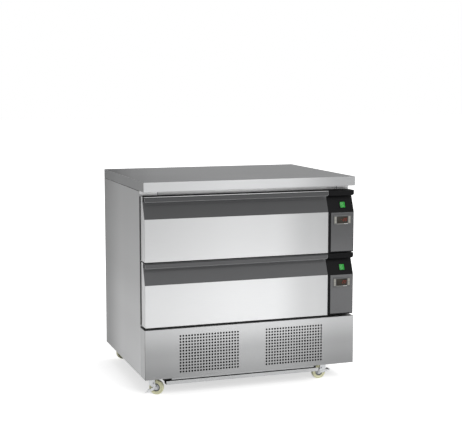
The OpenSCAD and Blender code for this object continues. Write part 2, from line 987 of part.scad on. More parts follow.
// The drawer frame: the inner slide members, side plates with a ledge, and two cross bars
module drawer_frame(level) {
    plate_top = chamber_z(level) + pan_rim_z - pan_t;
    inner_w = slide_w - middle_x - slide_t - slide_gap;
    color("silver") {
        at_slides(level)
            translate([slide_w, 0, 0])
                mirror([1, 0, 0])
                    slide_member(inner_h, inner_w, slide_y0, slide_y1);
        for (side = [0, 1])
            translate([side == 0 ? chamber_x0 : chamber_x1, 0, 0])
                mirror([side, 0, 0]) {
                    block(slide_w, slide_w + frame_t, y_inner, pan_y1,
                        plate_top - frame_plate_h - inner_h / 2, plate_top);
                    block(slide_w, slide_space + ledge_in, pan_y0, pan_y1,
                        plate_top - frame_t, plate_top);
                }
        block(chamber_x0 + slide_w, chamber_x1 - slide_w, pan_y1 - pan_rim_w + rim_gap,
            pan_y1, plate_top - rear_bar_h, plate_top);
        block(chamber_x0 + slide_w, chamber_x1 - slide_w, y_inner,
            y_inner + frame_t, plate_top - frame_plate_h, plate_top);
    }
}
module upper_drawer_frame() {
    drawer_frame(UPPER);
}
module lower_drawer_frame() {
    drawer_frame(LOWER);
}

module pan(level) {
    z = chamber_z(level) + pan_rim_z;
    r = pan_rim_w;
    color("silver")
        difference() {
            union() {
                translate([0, 0, z - pan_t])
                    linear_extrude(pan_t)
                        round_rect(pan_x0, pan_x1, pan_y0, pan_y1, pan_rim_r);
                translate([0, 0, z - pan_h])
                    linear_extrude(pan_h)
                        round_rect(pan_x0 + r, pan_x1 - r, pan_y0 + r, pan_y1 - r, pan_corner_r);
            }
            translate([0, 0, z - pan_h + pan_t])
                linear_extrude(pan_h)
                    round_rect(pan_x0 + r + pan_t, pan_x1 - r - pan_t, pan_y0 + r + pan_t,
                        pan_y1 - r - pan_t, pan_corner_r - pan_t);
        }
}
module upper_pan() {
    pan(UPPER);
}
module lower_pan() {
    pan(LOWER);
}

// Evaporators and their fans

fin_t = 0.6;
web_t = 3;
header_d = 14;

// A finned core between two corners: fins on a flat web of channels, with a round header
// at each end
module coil(xa, xb, ya, yb, za, zb, fins) {
    ym = (ya + yb) / 2;
    first = xa + header_d;
    pitch = (xb - xa - 2 * header_d - fin_t) / (fins - 1);
    translate([0, 0, za])
        linear_extrude(zb - za) {
            for (i = [0 : fins - 1])
                translate([first + i * pitch, ya])
                    square([fin_t, yb - ya]);
            translate([xa + header_d / 2, ym - web_t / 2])
                square([xb - xa - header_d, web_t]);
        }
    for (x = [xa + header_d / 2, xb - header_d / 2])
        translate([x, ym, za])
            cylinder(d = header_d, h = zb - za);
}

module evaporator(level) {
    z0 = small_fan_z(level) - evaporator_h / 2;
    y1 = chamber_y1 - evaporator_gap;
    color("lightsteelblue") {
        coil(evaporator_x0, evaporator_x1, y1 - evaporator_t, y1, z0, z0 + evaporator_h,
            evaporator_fins);
        for (x = [evaporator_x0 + header_d, evaporator_x1 - header_d - sheet_t])
            block(x, x + sheet_t, y1 - evaporator_t, chamber_y1, z0, z0 + evaporator_h);
    }
}
module upper_evaporator() {
    evaporator(UPPER);
}
module lower_evaporator() {
    evaporator(LOWER);
}

cover_slots = 9;
slot_pitch = 40;
slot_w = 26;
slot_h = 120;
slot_x0 = evaporator_x0 + 40;
fan_mouth_gap = 2;
motor_slot_w = 26;
motor_slot_in = 20;

module evaporator_cover(level) {
    z0 = chamber_z(level) + cover_edge;
    z1 = chamber_z(level) + chamber_h - cover_edge;
    xa = chamber_x0 + cover_side;
    xb = chamber_x1 - cover_side;
    z = small_fan_z(level);
    half = fan_frame_w / 2;
    front = cover_y + sheet_t;
    back = front + fan_frame_d;
    difference() {
        block(xa, xb, cover_y, chamber_y1, z0, z1);
        block(xa + sheet_t, xb - sheet_t, front, chamber_y1 + cut, z0 - cut, z1 + cut);
        bar_y(small_fan_x, z, cover_y - cut, front + cut, small_fan_d + 2 * fan_mouth_gap);
        for (i = [0 : cover_slots - 1])
            translate([slot_x0 + i * slot_pitch, cover_y - cut, z - slot_h / 2])
                cube([slot_w, sheet_t + 2 * cut, slot_h]);
        for (dz = [suction_dz, liquid_dz])
            bar_x(line_y, chamber_z(level) + dz, xb - cut - sheet_t, xb + cut,
                suction_d + 2 * line_gap);
    }
    difference() {
        block(small_fan_x - half, small_fan_x + half, front, back, z - half, z + half);
        bar_y(small_fan_x, z, cover_y, back - fan_frame_back, small_fan_d + fan_mouth_gap);
        bar_y(small_fan_x, z, cover_y, back + cut, small_shaft_d + 2 * turn_gap);
        for (a = [45 : 90 : 315])
            translate([small_fan_x, 0, z])
                rotate([0, a, 0])
                    block(motor_slot_in, small_fan_d / 2, back - fan_frame_back - cut, back + cut,
                        -motor_slot_w / 2, motor_slot_w / 2);
    }
}

module evaporator_covers() {
    color("gainsboro")
        for (level = [LOWER, UPPER])
            evaporator_cover(level);
}

blade_tilt = 35;
blade_fill = 0.8;
blade_t = 1.6;
blade_root = 2;
blades = 5;

// A fan that turns about Y: hub, tilted blades and a shaft towards +Y
module fan(x, ya, yb, z, d, hub, shaft, shaft_end) {
    mid = (ya + yb) / 2;
    chord = (yb - ya) / sin(blade_tilt) * blade_fill;
    reach = sqrt(pow(d / 2, 2) - pow(chord / 2, 2)) - hub / 2 + blade_root;
    translate([x, 0, z]) {
        bar_y(0, 0, ya, yb, hub);
        bar_y(0, 0, ya, shaft_end, shaft);
        for (i = [0 : blades - 1])
            rotate([0, i * 360 / blades, 0])
                translate([hub / 2 - blade_root, mid, 0])
                    rotate([blade_tilt, 0, 0])
                        translate([0, -blade_t / 2, -chord / 2])
                            cube([reach, blade_t, chord]);
    }
}

small_shaft_d = shaft_d / 2;
small_shaft_in = 0.5;
small_hub_d = 30;
small_fan_front = 2;
small_fan_back = 5;

module evaporator_fan(level) {
    front = cover_y + sheet_t;
    back = front + fan_frame_d;
    color("#2b2b2d")
        fan(small_fan_x, front + small_fan_front, back - small_fan_back, small_fan_z(level),
            small_fan_d, small_hub_d, small_shaft_d, back - small_shaft_in);
}
module upper_evaporator_fan() {
    evaporator_fan(UPPER);
}
module lower_evaporator_fan() {
    evaporator_fan(LOWER);
}

// Condensers, their fans and the compressors

module condensers() {
    color("lightsteelblue")
        for (side = [-1, 1])
            let (xa = side * grille_x - condenser_w / 2, xb = side * grille_x + condenser_w / 2) {
                coil(xa, xb, condenser_y0, condenser_y1, condenser_z0,
                    condenser_z0 + condenser_h, condenser_fins);
                for (x = [xa + header_d, xb - header_d - sheet_t])
                    block(x, x + sheet_t, condenser_y0, condenser_y1,
                        z_base + sheet_t, condenser_z0 + condenser_h);
            }
}

module condenser_fan_motor(side) {
    xc = side * grille_x;
    half = condenser_w / 2 - header_d - sheet_t;
    z0 = condenser_z0 - shroud_over;
    z1 = condenser_z0 + condenser_h + shroud_over;
    difference() {
        block(xc - half, xc + half, condenser_y1, shroud_y1, z0, z1);
        block(xc - half + shroud_t, xc + half - shroud_t, condenser_y1 - cut,
            shroud_y1 - shroud_t, z0 + shroud_t, z1 - shroud_t);
        bar_y(xc, fan_z, shroud_y1 - shroud_t - cut, shroud_y1 + cut, fan_d + 2 * fan_hole_gap);
    }
    for (x = [xc - half + shroud_foot_in, xc + half - shroud_foot_in - shroud_foot_w])
        block(x, x + shroud_foot_w, shroud_y1 - shroud_foot_d, shroud_y1, z_base + sheet_t, z0);
    difference() {
        union() {
            bar_y(xc, fan_z, motor_y0, motor_y0 + motor_l, motor_d);
            for (a = [45 : 90 : 315])
                translate([xc, 0, fan_z])
                    rotate([0, a, 0])
                        block(0, fan_d / 2 + fan_hole_gap + arm_over, shroud_y1, motor_y0 + cut,
                            -arm_w / 2, arm_w / 2);
        }
        bar_y(xc, fan_z, shroud_y1 - cut, motor_y0 + shaft_bore, shaft_d + 2 * turn_gap);
    }
}

module condenser_fan_motors() {
    color("#55575a")
        for (side = [-1, 1])
            condenser_fan_motor(side);
}

fan_hub_d = 40;
fan_front = 5;
fan_back = 4;

module condenser_fan(side) {
    color("#8d9094")
        fan(side * grille_x, condenser_y1 + fan_front, shroud_y1 - shroud_t - fan_back, fan_z,
            fan_d, fan_hub_d, shaft_d, motor_y0 + shaft_in);
}
module left_condenser_fan() {
    condenser_fan(-1);
}
module right_condenser_fan() {
    condenser_fan(1);
}

foot_h = 14;
foot_in = 16;
foot_plate_t = 2;
foot_plate_in = 6;
foot_w = 20;
dome_r = 30;
weld_h = 4;
weld_out = 3;
weld_share = 0.55;
terminal_in = 8;
terminal_out = 22;
terminal_half = 24;
terminal_z0 = 54;
terminal_z1 = 100;
stub_in = 0.7;
stub_out = 12;
suction_stub_x = -30;
suction_stub_z = 110;
discharge_stub_x = 20;
discharge_stub_z = 60;
compressor_z = z_base + sheet_t;

module compressor(side) {
    r = compressor_d / 2;
    h = compressor_h - foot_h;
    edge = r - foot_plate_in;
    translate([side * grille_x, -compressor_y, compressor_z]) {
        translate([0, 0, foot_h])
            rotate_extrude()
                union() {
                    square([r - dome_r, h]);
                    translate([0, dome_r])
                        square([r, h - 2 * dome_r]);
                    translate([r - dome_r, dome_r])
                        circle(r = dome_r);
                    translate([r - dome_r, h - dome_r])
                        circle(r = dome_r);
                    translate([0, h * weld_share])
                        square([r + weld_out, weld_h]);
                }
        for (sx = [-1, 1], sy = [-1, 1])
            translate([sx * (r - foot_in), sy * (r - foot_in), 0])
                cylinder(d = foot_w, h = foot_h);
        block(-edge, edge, -edge, edge, foot_h, foot_h + foot_plate_t);
        block(r - terminal_in, r + terminal_out, -terminal_half, terminal_half,
            terminal_z0, terminal_z1);
        bar_y(suction_stub_x, suction_stub_z, r * stub_in, r + stub_out, suction_d);
        bar_y(discharge_stub_x, discharge_stub_z, r * stub_in, r + stub_out, liquid_d);
    }
}

module compressors() {
    color("#232427")
        for (side = [-1, 1])
            compressor(side);
}

line_step = 25;
line_drop = 14;
discharge_run = 20;
y_stub = -compressor_y + compressor_d / 2 + stub_out;

// A unit's suction line: the left unit cools the lower drawer, the right unit the upper one
module suction_line(side, level) {
    x = side * grille_x + suction_stub_x;
    z_stub = compressor_z + suction_stub_z;
    run_y = line_y - (level + 1) * line_step;
    run_z = z_floor - sheet_t - line_drop - level * line_step;
    x_riser = x_duct + duct_w / 3 + level * duct_w / 3;
    z_end = chamber_z(level) + suction_dz;
    tube_run([[x, y_stub, z_stub], [x, run_y, z_stub], [x, run_y, run_z],
        [x_riser, run_y, run_z], [x_riser, line_y, run_z], [x_riser, line_y, z_end],
        [evaporator_x1, line_y, z_end]], suction_d);
}

module discharge_line(side) {
    x = side * grille_x + discharge_stub_x;
    x_cond = side * (grille_x + condenser_w / 2);
    x_side = side * (grille_x + condenser_w / 2 + header_d);
    y_run = y_stub + discharge_run;
    y_cond = condenser_y0 + condenser_t / 2;
    z_stub = compressor_z + discharge_stub_z;
    z_in = condenser_z0 + condenser_h - header_d;
    tube_run([[x, y_stub, z_stub], [x, y_run, z_stub], [x_side, y_run, z_stub],
        [x_side, y_run, z_in], [x_side, y_cond, z_in], [x_cond, y_cond, z_in]], liquid_d);
}

module refrigerant_lines() {
    color("peru") {
        suction_line(-1, LOWER);
        suction_line(1, UPPER);
        discharge_line(-1);
        discharge_line(1);
    }
}

// Casters

bolt_d = 6;
bolt_place = 22;
bolt_head_d = 10;
bolt_head_t = 4;
bolt_gap = 0.1;
plate_corner_r = 6;

module caster_plate() {
    half = caster_plate_w / 2;
    z_plate = z_base - caster_plate_t;
    difference() {
        translate([0, 0, z_plate])
            linear_extrude(caster_plate_t)
                round_rect(-half, half, -half, half, plate_corner_r);
        for (sx = [-1, 1], sy = [-1, 1])
            translate([sx * bolt_place, sy * bolt_place, z_plate - cut])
                cylinder(d = bolt_d, h = caster_plate_t + 2 * cut);
    }
    translate([0, 0, z_plate - raceway_t])
        cylinder(d = raceway_d, h = raceway_t);
    translate([0, 0, crown_z - crown_t - part_gap - king_head_t])
        cylinder(d = king_d, h = z_plate - crown_z + crown_t + part_gap + king_head_t);
    translate([0, 0, crown_z - crown_t - part_gap - king_head_t])
        cylinder(d = king_head_d, h = king_head_t);
    for (sx = [-1, 1], sy = [-1, 1])
        translate([sx * bolt_place, sy * bolt_place, 0]) {
            translate([0, 0, z_base + sheet_t])
                cylinder(d = bolt_head_d, h = bolt_head_t, $fn = 6);
            translate([0, 0, z_plate])
                cylinder(d = bolt_d - 2 * bolt_gap, h = caster_plate_t + sheet_t + bolt_head_t / 2);
        }
}

module caster_plates() {
    color("silver")
        for (x = [axis_left, axis_right], y = [axis_front, axis_rear])
            translate([x, y, 0])
                caster_plate();
}

// Places its children at a caster, turned about its swivel axis
module at_caster(right, rear) {
    turn = rear == 0 ? front_turns[right] : rear_turns[right];
    translate([right == 0 ? axis_left : axis_right, rear == 0 ? axis_front : axis_rear, 0])
        rotate([0, 0, turn])
            children();
}

boss_r = 7.5;
leg_skirt = 4;
leg_edge = 0.5;
leg_lean = 5;
leg_knee = 11;
leg_set_back = 1;

// Side view of a fork leg, about the swivel axis
module leg_outline() {
    crown_half = sqrt(pow(crown_d / 2, 2) - pow(leg_y + fork_t, 2)) - leg_edge;
    polygon([[-crown_half, crown_z], [-crown_half, crown_z - leg_skirt], [-leg_lean, wheel_d],
        [leg_edge - leg_lean, axle_z + leg_knee], [trail - boss_r * cos(37), axle_z - boss_r * sin(37)],
        [trail + boss_r, axle_z], [trail - leg_set_back, axle_z + leg_knee],
        [crown_half, crown_z - leg_skirt], [crown_half, crown_z]]);
    translate([trail, axle_z])
        circle(r = boss_r);
}

module fork_body() {
    color("lightslategray") {
        difference() {
            union() {
                translate([0, 0, crown_z - crown_t])
                    cylinder(d = crown_d, h = crown_t);
                for (y = [leg_y, -leg_y - fork_t])
                    along_y(y, y + fork_t)
                        leg_outline();
            }
            translate([0, 0, crown_z - crown_t - cut])
                cylinder(d = king_d + 2 * turn_gap, h = crown_t + 2 * cut);
            bar_y(trail, axle_z, -leg_y - fork_t - cut, leg_y + fork_t + cut, axle_d);
        }
        bar_y(trail, axle_z, -nut_y, nut_y, axle_d);
        for (y = [nut_y, -nut_y - nut_t])
            translate([trail, y, axle_z])
                rotate([-90, 0, 0])
                    cylinder(d = nut_d, h = nut_t, $fn = 6);
    }
}
module front_left_fork() {
    at_caster(0, 0)
        fork_body();
}
module front_right_fork() {
    at_caster(1, 0)
        fork_body();
}
module rear_left_fork() {
    at_caster(0, 1)
        fork_body();
}
module rear_right_fork() {
    at_caster(1, 1)
        fork_body();
}

tread_t = 9;
tread_r = 3;
web_in = 2.5;
hub_d = 16;

module wheel() {
    r = wheel_d / 2;
    bore = axle_d / 2 + turn_gap;
    color("#d9d6ae")
        translate([trail, 0, axle_z])
            rotate([90, 0, 0])
                rotate_extrude()
                    difference() {
                        union() {
                            translate([0, -wheel_w / 2])
                                square([r - tread_r, wheel_w]);
                            translate([0, -wheel_w / 2 + tread_r])
                                square([r, wheel_w - 2 * tread_r]);
                            for (y = [-wheel_w / 2 + tread_r, wheel_w / 2 - tread_r])
                                translate([r - tread_r, y])
                                    circle(r = tread_r, $fn = 24);
                        }
                        translate([-cut, -wheel_w / 2 - cut])
                            square([bore + cut, wheel_w + 2 * cut]);
                        for (y = [-wheel_w / 2 - cut, wheel_w / 2 - web_in])
                            translate([hub_d / 2, y])
                                square([r - tread_t - hub_d / 2, web_in + cut]);
                    }
}
module front_left_wheel() {
    at_caster(0, 0)
        wheel();
}
module front_right_wheel() {
    at_caster(1, 0)
        wheel();
}
module rear_left_wheel() {
    at_caster(0, 1)
        wheel();
}
module rear_right_wheel() {
    at_caster(1, 1)
        wheel();
}

pedal_angles = [208, 172];
pedal_r0 = wheel_d / 2 + 5;
pedal_r1 = wheel_d / 2 + 18;
pedal_t = 3;
cheek_r = 7;
cheek_half = 5;

// The left lever is pressed down on its wheel and the right one is raised
module brake(right) {
    out = lever_y + lever_t;
    color("silver")
        translate([trail, 0, axle_z])
            rotate([0, -pedal_angles[right], 0]) {
                for (y = [lever_y, -out])
                    difference() {
                        union() {
                            bar_y(0, 0, y, y + lever_t, 2 * cheek_r);
                            block(0, pedal_r0 + pedal_t, y, y + lever_t, -cheek_half, cheek_half);
                        }
                        bar_y(0, 0, y - cut, y + lever_t + cut, axle_d + 2 * turn_gap);
                    }
                block(pedal_r0, pedal_r1, -out, out, -pedal_t / 2, pedal_t / 2);
                block(pedal_r0, pedal_r0 + pedal_t, -out, out, -cheek_half, cheek_half);
            }
}
module front_left_brake() {
    at_caster(0, 0)
        brake(0);
}
module front_right_brake() {
    at_caster(1, 0)
        brake(1);
}

worktop();
worktop_core();
left_side_panel();
right_side_panel();
back_panel();
front_frame();
cabinet_floor();
cabinet_foam();
upper_liner();
lower_liner();
base_pan();
chassis_rails();
grille_panel();
panel_screws();
upper_control_housing();
lower_control_housing();
upper_control_plate();
lower_control_plate();
upper_controller();
lower_controller();
upper_evaporator();
lower_evaporator();
evaporator_covers();
compressors();
condensers();
condenser_fan_motors();
refrigerant_lines();
outer_slides();
caster_plates();
cable_gland();
upper_middle_slides();
lower_middle_slides();
upper_drawer_front();
upper_drawer_foam();
upper_drawer_grip();
upper_drawer_gasket();
upper_drawer_frame();
upper_pan();
lower_drawer_front();
lower_drawer_foam();
lower_drawer_grip();
lower_drawer_gasket();
lower_drawer_frame();
lower_pan();
upper_rocker();
lower_rocker();
left_condenser_fan();
right_condenser_fan();
upper_evaporator_fan();
lower_evaporator_fan();
front_left_fork();
front_right_fork();
rear_left_fork();
rear_right_fork();
front_left_wheel();
front_right_wheel();
rear_left_wheel();
rear_right_wheel();
front_left_brake();
front_right_brake();
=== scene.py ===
import math

import bmesh
import bpy
from mathutils import Matrix, Vector


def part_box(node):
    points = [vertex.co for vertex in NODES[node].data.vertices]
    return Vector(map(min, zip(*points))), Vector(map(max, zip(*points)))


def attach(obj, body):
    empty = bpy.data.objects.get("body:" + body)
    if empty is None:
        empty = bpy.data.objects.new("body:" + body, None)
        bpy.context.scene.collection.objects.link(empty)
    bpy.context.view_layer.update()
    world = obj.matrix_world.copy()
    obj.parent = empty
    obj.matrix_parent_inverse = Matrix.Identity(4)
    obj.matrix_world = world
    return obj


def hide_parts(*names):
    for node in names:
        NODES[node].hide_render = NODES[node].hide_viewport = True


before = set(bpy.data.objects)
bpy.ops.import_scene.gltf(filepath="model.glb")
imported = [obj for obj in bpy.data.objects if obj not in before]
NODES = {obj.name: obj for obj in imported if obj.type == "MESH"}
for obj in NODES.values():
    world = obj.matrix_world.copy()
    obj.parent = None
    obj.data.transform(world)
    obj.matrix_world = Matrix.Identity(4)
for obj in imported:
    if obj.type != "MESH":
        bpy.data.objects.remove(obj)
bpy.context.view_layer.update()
LEVELS = ("lower", "upper")

# Lengths are in metres
MM = 0.001


# Materials

# Nearly all of the noise lies between these values
NOISE_LOW, NOISE_HIGH = 0.3, 0.7
FINE_DETAIL, BROAD_DETAIL = 4.0, 2.0
# How squarely a face looks along an axis where facing's painted light and shade starts, and where it is
# full
FACING_LOW, FACING_HIGH = 0.7, 0.95
FACE_MOTTLE = 1.6
# The sockets of a Mix node that mixes colours
MIX_FACTOR, MIX_A, MIX_B, MIX_RESULT = 0, 6, 7, 2
DIRECTIONS = {"X": (1, 0, 0), "Y": (0, 1, 0), "Z": (0, 0, 1), "back left": (1, -0.24, 0)}
EVEN = (1, 1, 1)
ALONG_X = (0.02, 1, 1)
ALONG_Y = (1, 0.02, 1)
ALONG_Z = (1, 1, 0.02)
BRUSH = 900.0
BRUSHED = {"grain": ALONG_X, "fine": BRUSH}
MATERIALS = {}


def add_node(tree, kind, **inputs):
    """A shader node of a kind, with values on its named sockets."""
    made = tree.nodes.new("ShaderNode" + kind)
    for socket, value in inputs.items():
        made.inputs[socket.replace("_", " ")].default_value = value
    return made


def noise_field(tree, scale, stretch=EVEN, detail=FINE_DETAIL):
    """A noise value in object space, its cells drawn out where stretch is small."""
    place = add_node(tree, "TexCoord")
    mapping = add_node(tree, "Mapping", Scale=stretch)
    field = add_node(tree, "TexNoise", Scale=scale, Detail=detail)
    tree.links.new(place.outputs["Object"], mapping.inputs["Vector"])
    tree.links.new(mapping.outputs["Vector"], field.inputs["Vector"])
    return field.outputs["Fac"]


def blend_fields(tree, first, second, share):
    """first and second mixed, with second's share."""
    mix = add_node(tree, "Mix")
    mix.inputs["Factor"].default_value = share
    tree.links.new(first, mix.inputs["A"])
    tree.links.new(second, mix.inputs["B"])
    return mix.outputs["Result"]


def sweep_field(tree, axis, stops):
    """A grey factor that goes through stops, pairs of place along axis and factor."""
    place = add_node(tree, "TexCoord")
    along_axis = add_node(tree, "VectorMath")
    along_axis.operation = "DOT_PRODUCT"
    along_axis.inputs[1].default_value = DIRECTIONS[axis]
    first, last = stops[0][0], stops[-1][0]
    span = add_node(tree, "MapRange", From_Min=first, From_Max=last)
    made = add_node(tree, "ValToRGB")
    made.color_ramp.interpolation = "EASE"
    while len(made.color_ramp.elements) < len(stops):
        made.color_ramp.elements.new(0.5)
    for element, (where, factor) in zip(made.color_ramp.elements, stops):
        element.position = (where - first) / (last - first)
        element.color = (factor, factor, factor, 1)
    tree.links.new(place.outputs["Object"], along_axis.inputs[0])
    tree.links.new(along_axis.outputs["Value"], span.inputs["Value"])
    tree.links.new(span.outputs["Result"], made.inputs["Fac"])
    return made.outputs["Color"]


def multiplied(tree, colour, factor):
    """The product of two colour outputs."""
    mix = add_node(tree, "Mix")
    mix.data_type = "RGBA"
    mix.blend_type = "MULTIPLY"
    mix.inputs[MIX_FACTOR].default_value = 1.0
    tree.links.new(colour, mix.inputs[MIX_A])
    tree.links.new(factor, mix.inputs[MIX_B])
    return mix.outputs[MIX_RESULT]


def toned(tree, field, colour, tone, sweeps):
    """A colour that is darker by the share tone where field is low and paler where it is
    high. Each of sweeps is an axis and its stops, a slow change of tone along that axis."""
    made = add_node(tree, "ValToRGB")
    dark, pale = made.color_ramp.elements
    for element, where, factor in ((dark, NOISE_LOW, 1 - tone), (pale, NOISE_HIGH, 1 + tone)):
        element.position = where
        element.color = (*(min(1.0, c * factor) for c in colour), 1)
    tree.links.new(field, made.inputs["Fac"])
    result = made.outputs["Color"]
    for axis, stops in sweeps:
        result = multiplied(tree, result, sweep_field(tree, axis, stops))
    return result


def surface(name, colour, rough, metal=0.0, tone=0.05, grain=EVEN, fine=60.0,
            broad=3.0, mottle=0.5, rough_spread=0.06, bump=0.0, bump_depth=0.1 * MM,
            specular=0.5, edge_tint=1.0, sweeps=()):
    """A principled material whose colour, roughness and relief vary over the surface, with the
    scales of its fine and its broad noise."""
    mat = bpy.data.materials.new(name)
    mat.use_nodes = True
    tree = mat.node_tree
    shader = tree.nodes["Principled BSDF"]
    shader.inputs["Metallic"].default_value = metal
    shader.inputs["Specular IOR Level"].default_value = specular
    shader.inputs["Specular Tint"].default_value = (edge_tint, edge_tint, edge_tint, 1)
    fine_field = noise_field(tree, fine, grain)
    broad_field = noise_field(tree, broad, detail=BROAD_DETAIL)
    field = blend_fields(tree, fine_field, broad_field, mottle)
    tree.links.new(toned(tree, field, colour, tone, sweeps), shader.inputs["Base Color"])
    spread = add_node(tree, "MapRange", From_Min=NOISE_LOW, From_Max=NOISE_HIGH,
        To_Min=rough - rough_spread, To_Max=rough + rough_spread)
    tree.links.new(field, spread.inputs["Value"])
    tree.links.new(spread.outputs["Result"], shader.inputs["Roughness"])
    if bump:
        relief = add_node(tree, "Bump", Strength=bump, Distance=bump_depth)
        tree.links.new(fine_field, relief.inputs["Height"])
        tree.links.new(relief.outputs["Normal"], shader.inputs["Normal"])
    MATERIALS[name] = mat
    return mat


def plain(name, colour, rough, metal, tone, fine, broad, bump, specular):
    """A surface from one row of PLAIN."""
    surface(name, colour, rough, metal, tone, fine=fine, broad=broad, bump=bump, specular=specular)


def facing(name, axis, share=1.0, own=()):
    """Paints light and shade by the way a face looks: multiplies a material's colour by share on faces
    that look along axis, either way, or gives them a painted tone of their own, from own's colour, tone
    and sweeps."""
    tree = MATERIALS[name].node_tree
    base = tree.nodes["Principled BSDF"].inputs["Base Color"]
    geometry = add_node(tree, "NewGeometry")
    split = add_node(tree, "SeparateXYZ")
    either_way = add_node(tree, "Math")
    either_way.operation = "ABSOLUTE"
    span = add_node(tree, "MapRange", From_Min=FACING_LOW, From_Max=FACING_HIGH)
    mix = add_node(tree, "Mix")
    mix.data_type = "RGBA"
    if own:
        broad = noise_field(tree, FACE_MOTTLE, detail=BROAD_DETAIL)
        tree.links.new(toned(tree, broad, *own), mix.inputs[MIX_B])
    else:
        mix.blend_type = "MULTIPLY"
        mix.inputs[MIX_B].default_value = (share, share, share, 1)
    tree.links.new(geometry.outputs["Normal"], split.inputs["Vector"])
    tree.links.new(split.outputs[axis], either_way.inputs[0])
    tree.links.new(either_way.outputs["Value"], span.inputs["Value"])
    tree.links.new(span.outputs["Result"], mix.inputs[MIX_FACTOR])
    tree.links.new(base.links[0].from_socket, mix.inputs[MIX_A])
    tree.links.new(mix.outputs[MIX_RESULT], base)


# Painted light and shade, as (place, factor) along an axis: slow tone changes that stand in for the lamps'
# reflections on the steel and for the shade where less light falls
FRONT_ACROSS = ((-0.45, 0.89), (-0.05, 1.0), (0.08, 0.98), (0.26, 0.735), (0.34, 0.685))
FRONT_UP = ((0.28, 1.0), (0.80, 0.69))
EDGE_ACROSS = ((-0.45, 0.91), (-0.05, 1.0), (0.12, 0.96), (0.40, 0.63))
TOP_ACROSS = ((-0.45, 0.87), (0.0, 1.0), (0.45, 1.0))
# Painted shade: the worktop's top grows darker towards its back left corner
TOP_CORNER = ((-0.534, 0.05), (-0.49, 0.31), (-0.44, 0.64), (-0.40, 0.82), (-0.30, 1.0))
SKIRT_BACK = ((-0.35, 1.0), (0.0, 0.93), (0.35, 0.68))
SIDE_UP = ((0.08, 1.0), (0.30, 0.775), (0.50, 0.605), (0.82, 0.52))
# Painted shade: a dark line along the top of the side panel, in the joint under the worktop's skirt
SIDE_SEAM = ((0.8192, 1.0), (0.8205, 0.08))
SIDE_BACK = ((-0.28, 1.0), (0.0, 0.93), (0.35, 0.425))
# A painted shade line at the plinth's left front corner, then a painted sheen across its front
PLINTH_ACROSS = ((-0.45, 0.40), (-0.4485, 0.40), (-0.4475, 0.79), (-0.05, 0.985), (0.12, 0.955),
    (0.40, 0.74))
PLINTH_UP = ((0.08, 0.59), (0.16, 0.695), (0.275, 1.0))
RETURN_UP = ((0.08, 1.0), (0.275, 0.9))
# Painted shade: the walls of the grilles' holes are darkened, and they are as deep as the plinth's sheet
PLINTH_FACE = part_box("grille_panel")[0][1]
SHADED_HOLE_WALLS = ((PLINTH_FACE, 0.08), (PLINTH_FACE + 1.05 * MM, 0.08), (PLINTH_FACE + 1.15 * MM, 1.0))
# Painted shade: the upper drawer's grip and the upper control plate are darker than the lower ones
DARK_UP = ((0.50, 1.0), (0.76, 0.7))
PLATE_UP = ((0.50, 1.0), (0.66, 0.68))
# Painted light: under each pull lip the grip is paler, level by level, to lift the shade that the lip
# casts
LIT_UNDER_LIPS = ((0.45, 0.34), (0.508, 0.34), (0.5205, 1.0), (0.522, 0.34), (0.766, 0.34), (0.7815, 1.0),
    (0.783, 0.34))
# Painted reflection and shade: the lower drawer's steel edge is painted far darker than the upper one's
CAPS_UP = ((0.54, 0.12), (0.80, 1.0))
# Painted light and shade on the strip under the worktop: slightly paler low down, against the overhang's
# shade, and darker right of its first joint
FRAME_UP = ((0.803, 1.0), (0.8155, 0.96))
FRAME_ACROSS = ((-0.45, 1.0), (-0.3755, 1.0), (-0.3745, 0.67), (0.0, 0.62), (0.388, 0.52))
# Painted shade: the chassis rails go dark between the front rail's face and the rear rail's back face,
# under the unit
RAIL_DEEP = ((-0.3375, 1.0), (-0.334, 0.06), (0.309, 0.06), (0.3125, 1.0))

surface("front_steel", (0.71, 0.715, 0.72), 0.40, metal=0.3, tone=0.04, **BRUSHED, broad=2.2,
    mottle=0.6, bump=0.06, specular=0.2, sweeps=(("X", FRONT_ACROSS), ("Z", FRONT_UP)))
surface("side_steel", (0.75, 0.755, 0.76), 0.42, metal=0.2, grain=ALONG_Z, fine=BRUSH,
    broad=1.6, mottle=0.6, bump=0.06, specular=0.15, edge_tint=0.6,
    sweeps=(("Z", SIDE_UP), ("Z", SIDE_SEAM), ("Y", SIDE_BACK)))
surface("worktop_steel", (0.56, 0.565, 0.57), 0.4, metal=0.2, **BRUSHED, broad=1.6,
    mottle=0.6, bump=0.06, specular=0.02, edge_tint=0.5, sweeps=(("X", EDGE_ACROSS),))
# Painted shade: the worktop's skirts, and darker still its top, get darker tones for how the light falls
# on them
facing("worktop_steel", "X", own=((0.321, 0.324, 0.327), 0.05, (("Y", SKIRT_BACK),)))
facing("worktop_steel", "Z",
    own=((0.200, 0.202, 0.205), 0.06, (("X", TOP_ACROSS), ("back left", TOP_CORNER))))
surface("plinth_steel", (0.61, 0.615, 0.62), 0.42, metal=0.25, tone=0.04, **BRUSHED, broad=2.0,
    mottle=0.6, bump=0.06, specular=0.15, sweeps=(("X", PLINTH_ACROSS), ("Z", PLINTH_UP)))
# Painted light and shade: the plinth's sides get a tone of their own with dark hole walls, and faces
# looking up or down are darkened
facing("plinth_steel", "X", own=((0.55, 0.555, 0.56), 0.05, (("Z", RETURN_UP), ("Y", SHADED_HOLE_WALLS))))
facing("plinth_steel", "Z", 0.2)
surface("frame_steel", (0.59, 0.592, 0.595), 0.3, metal=0.85, tone=0.04, **BRUSHED, rough_spread=0.03,
    bump=0.04, specular=0.2, sweeps=(("Z", FRAME_UP), ("X", FRAME_ACROSS)))
surface("rail_steel", (0.47, 0.475, 0.48), 0.36, metal=0.3, tone=0.1, grain=ALONG_X, fine=400.0,
    broad=14.0, mottle=0.55, rough_spread=0.08, bump=0.05, sweeps=(("Y", RAIL_DEEP),))
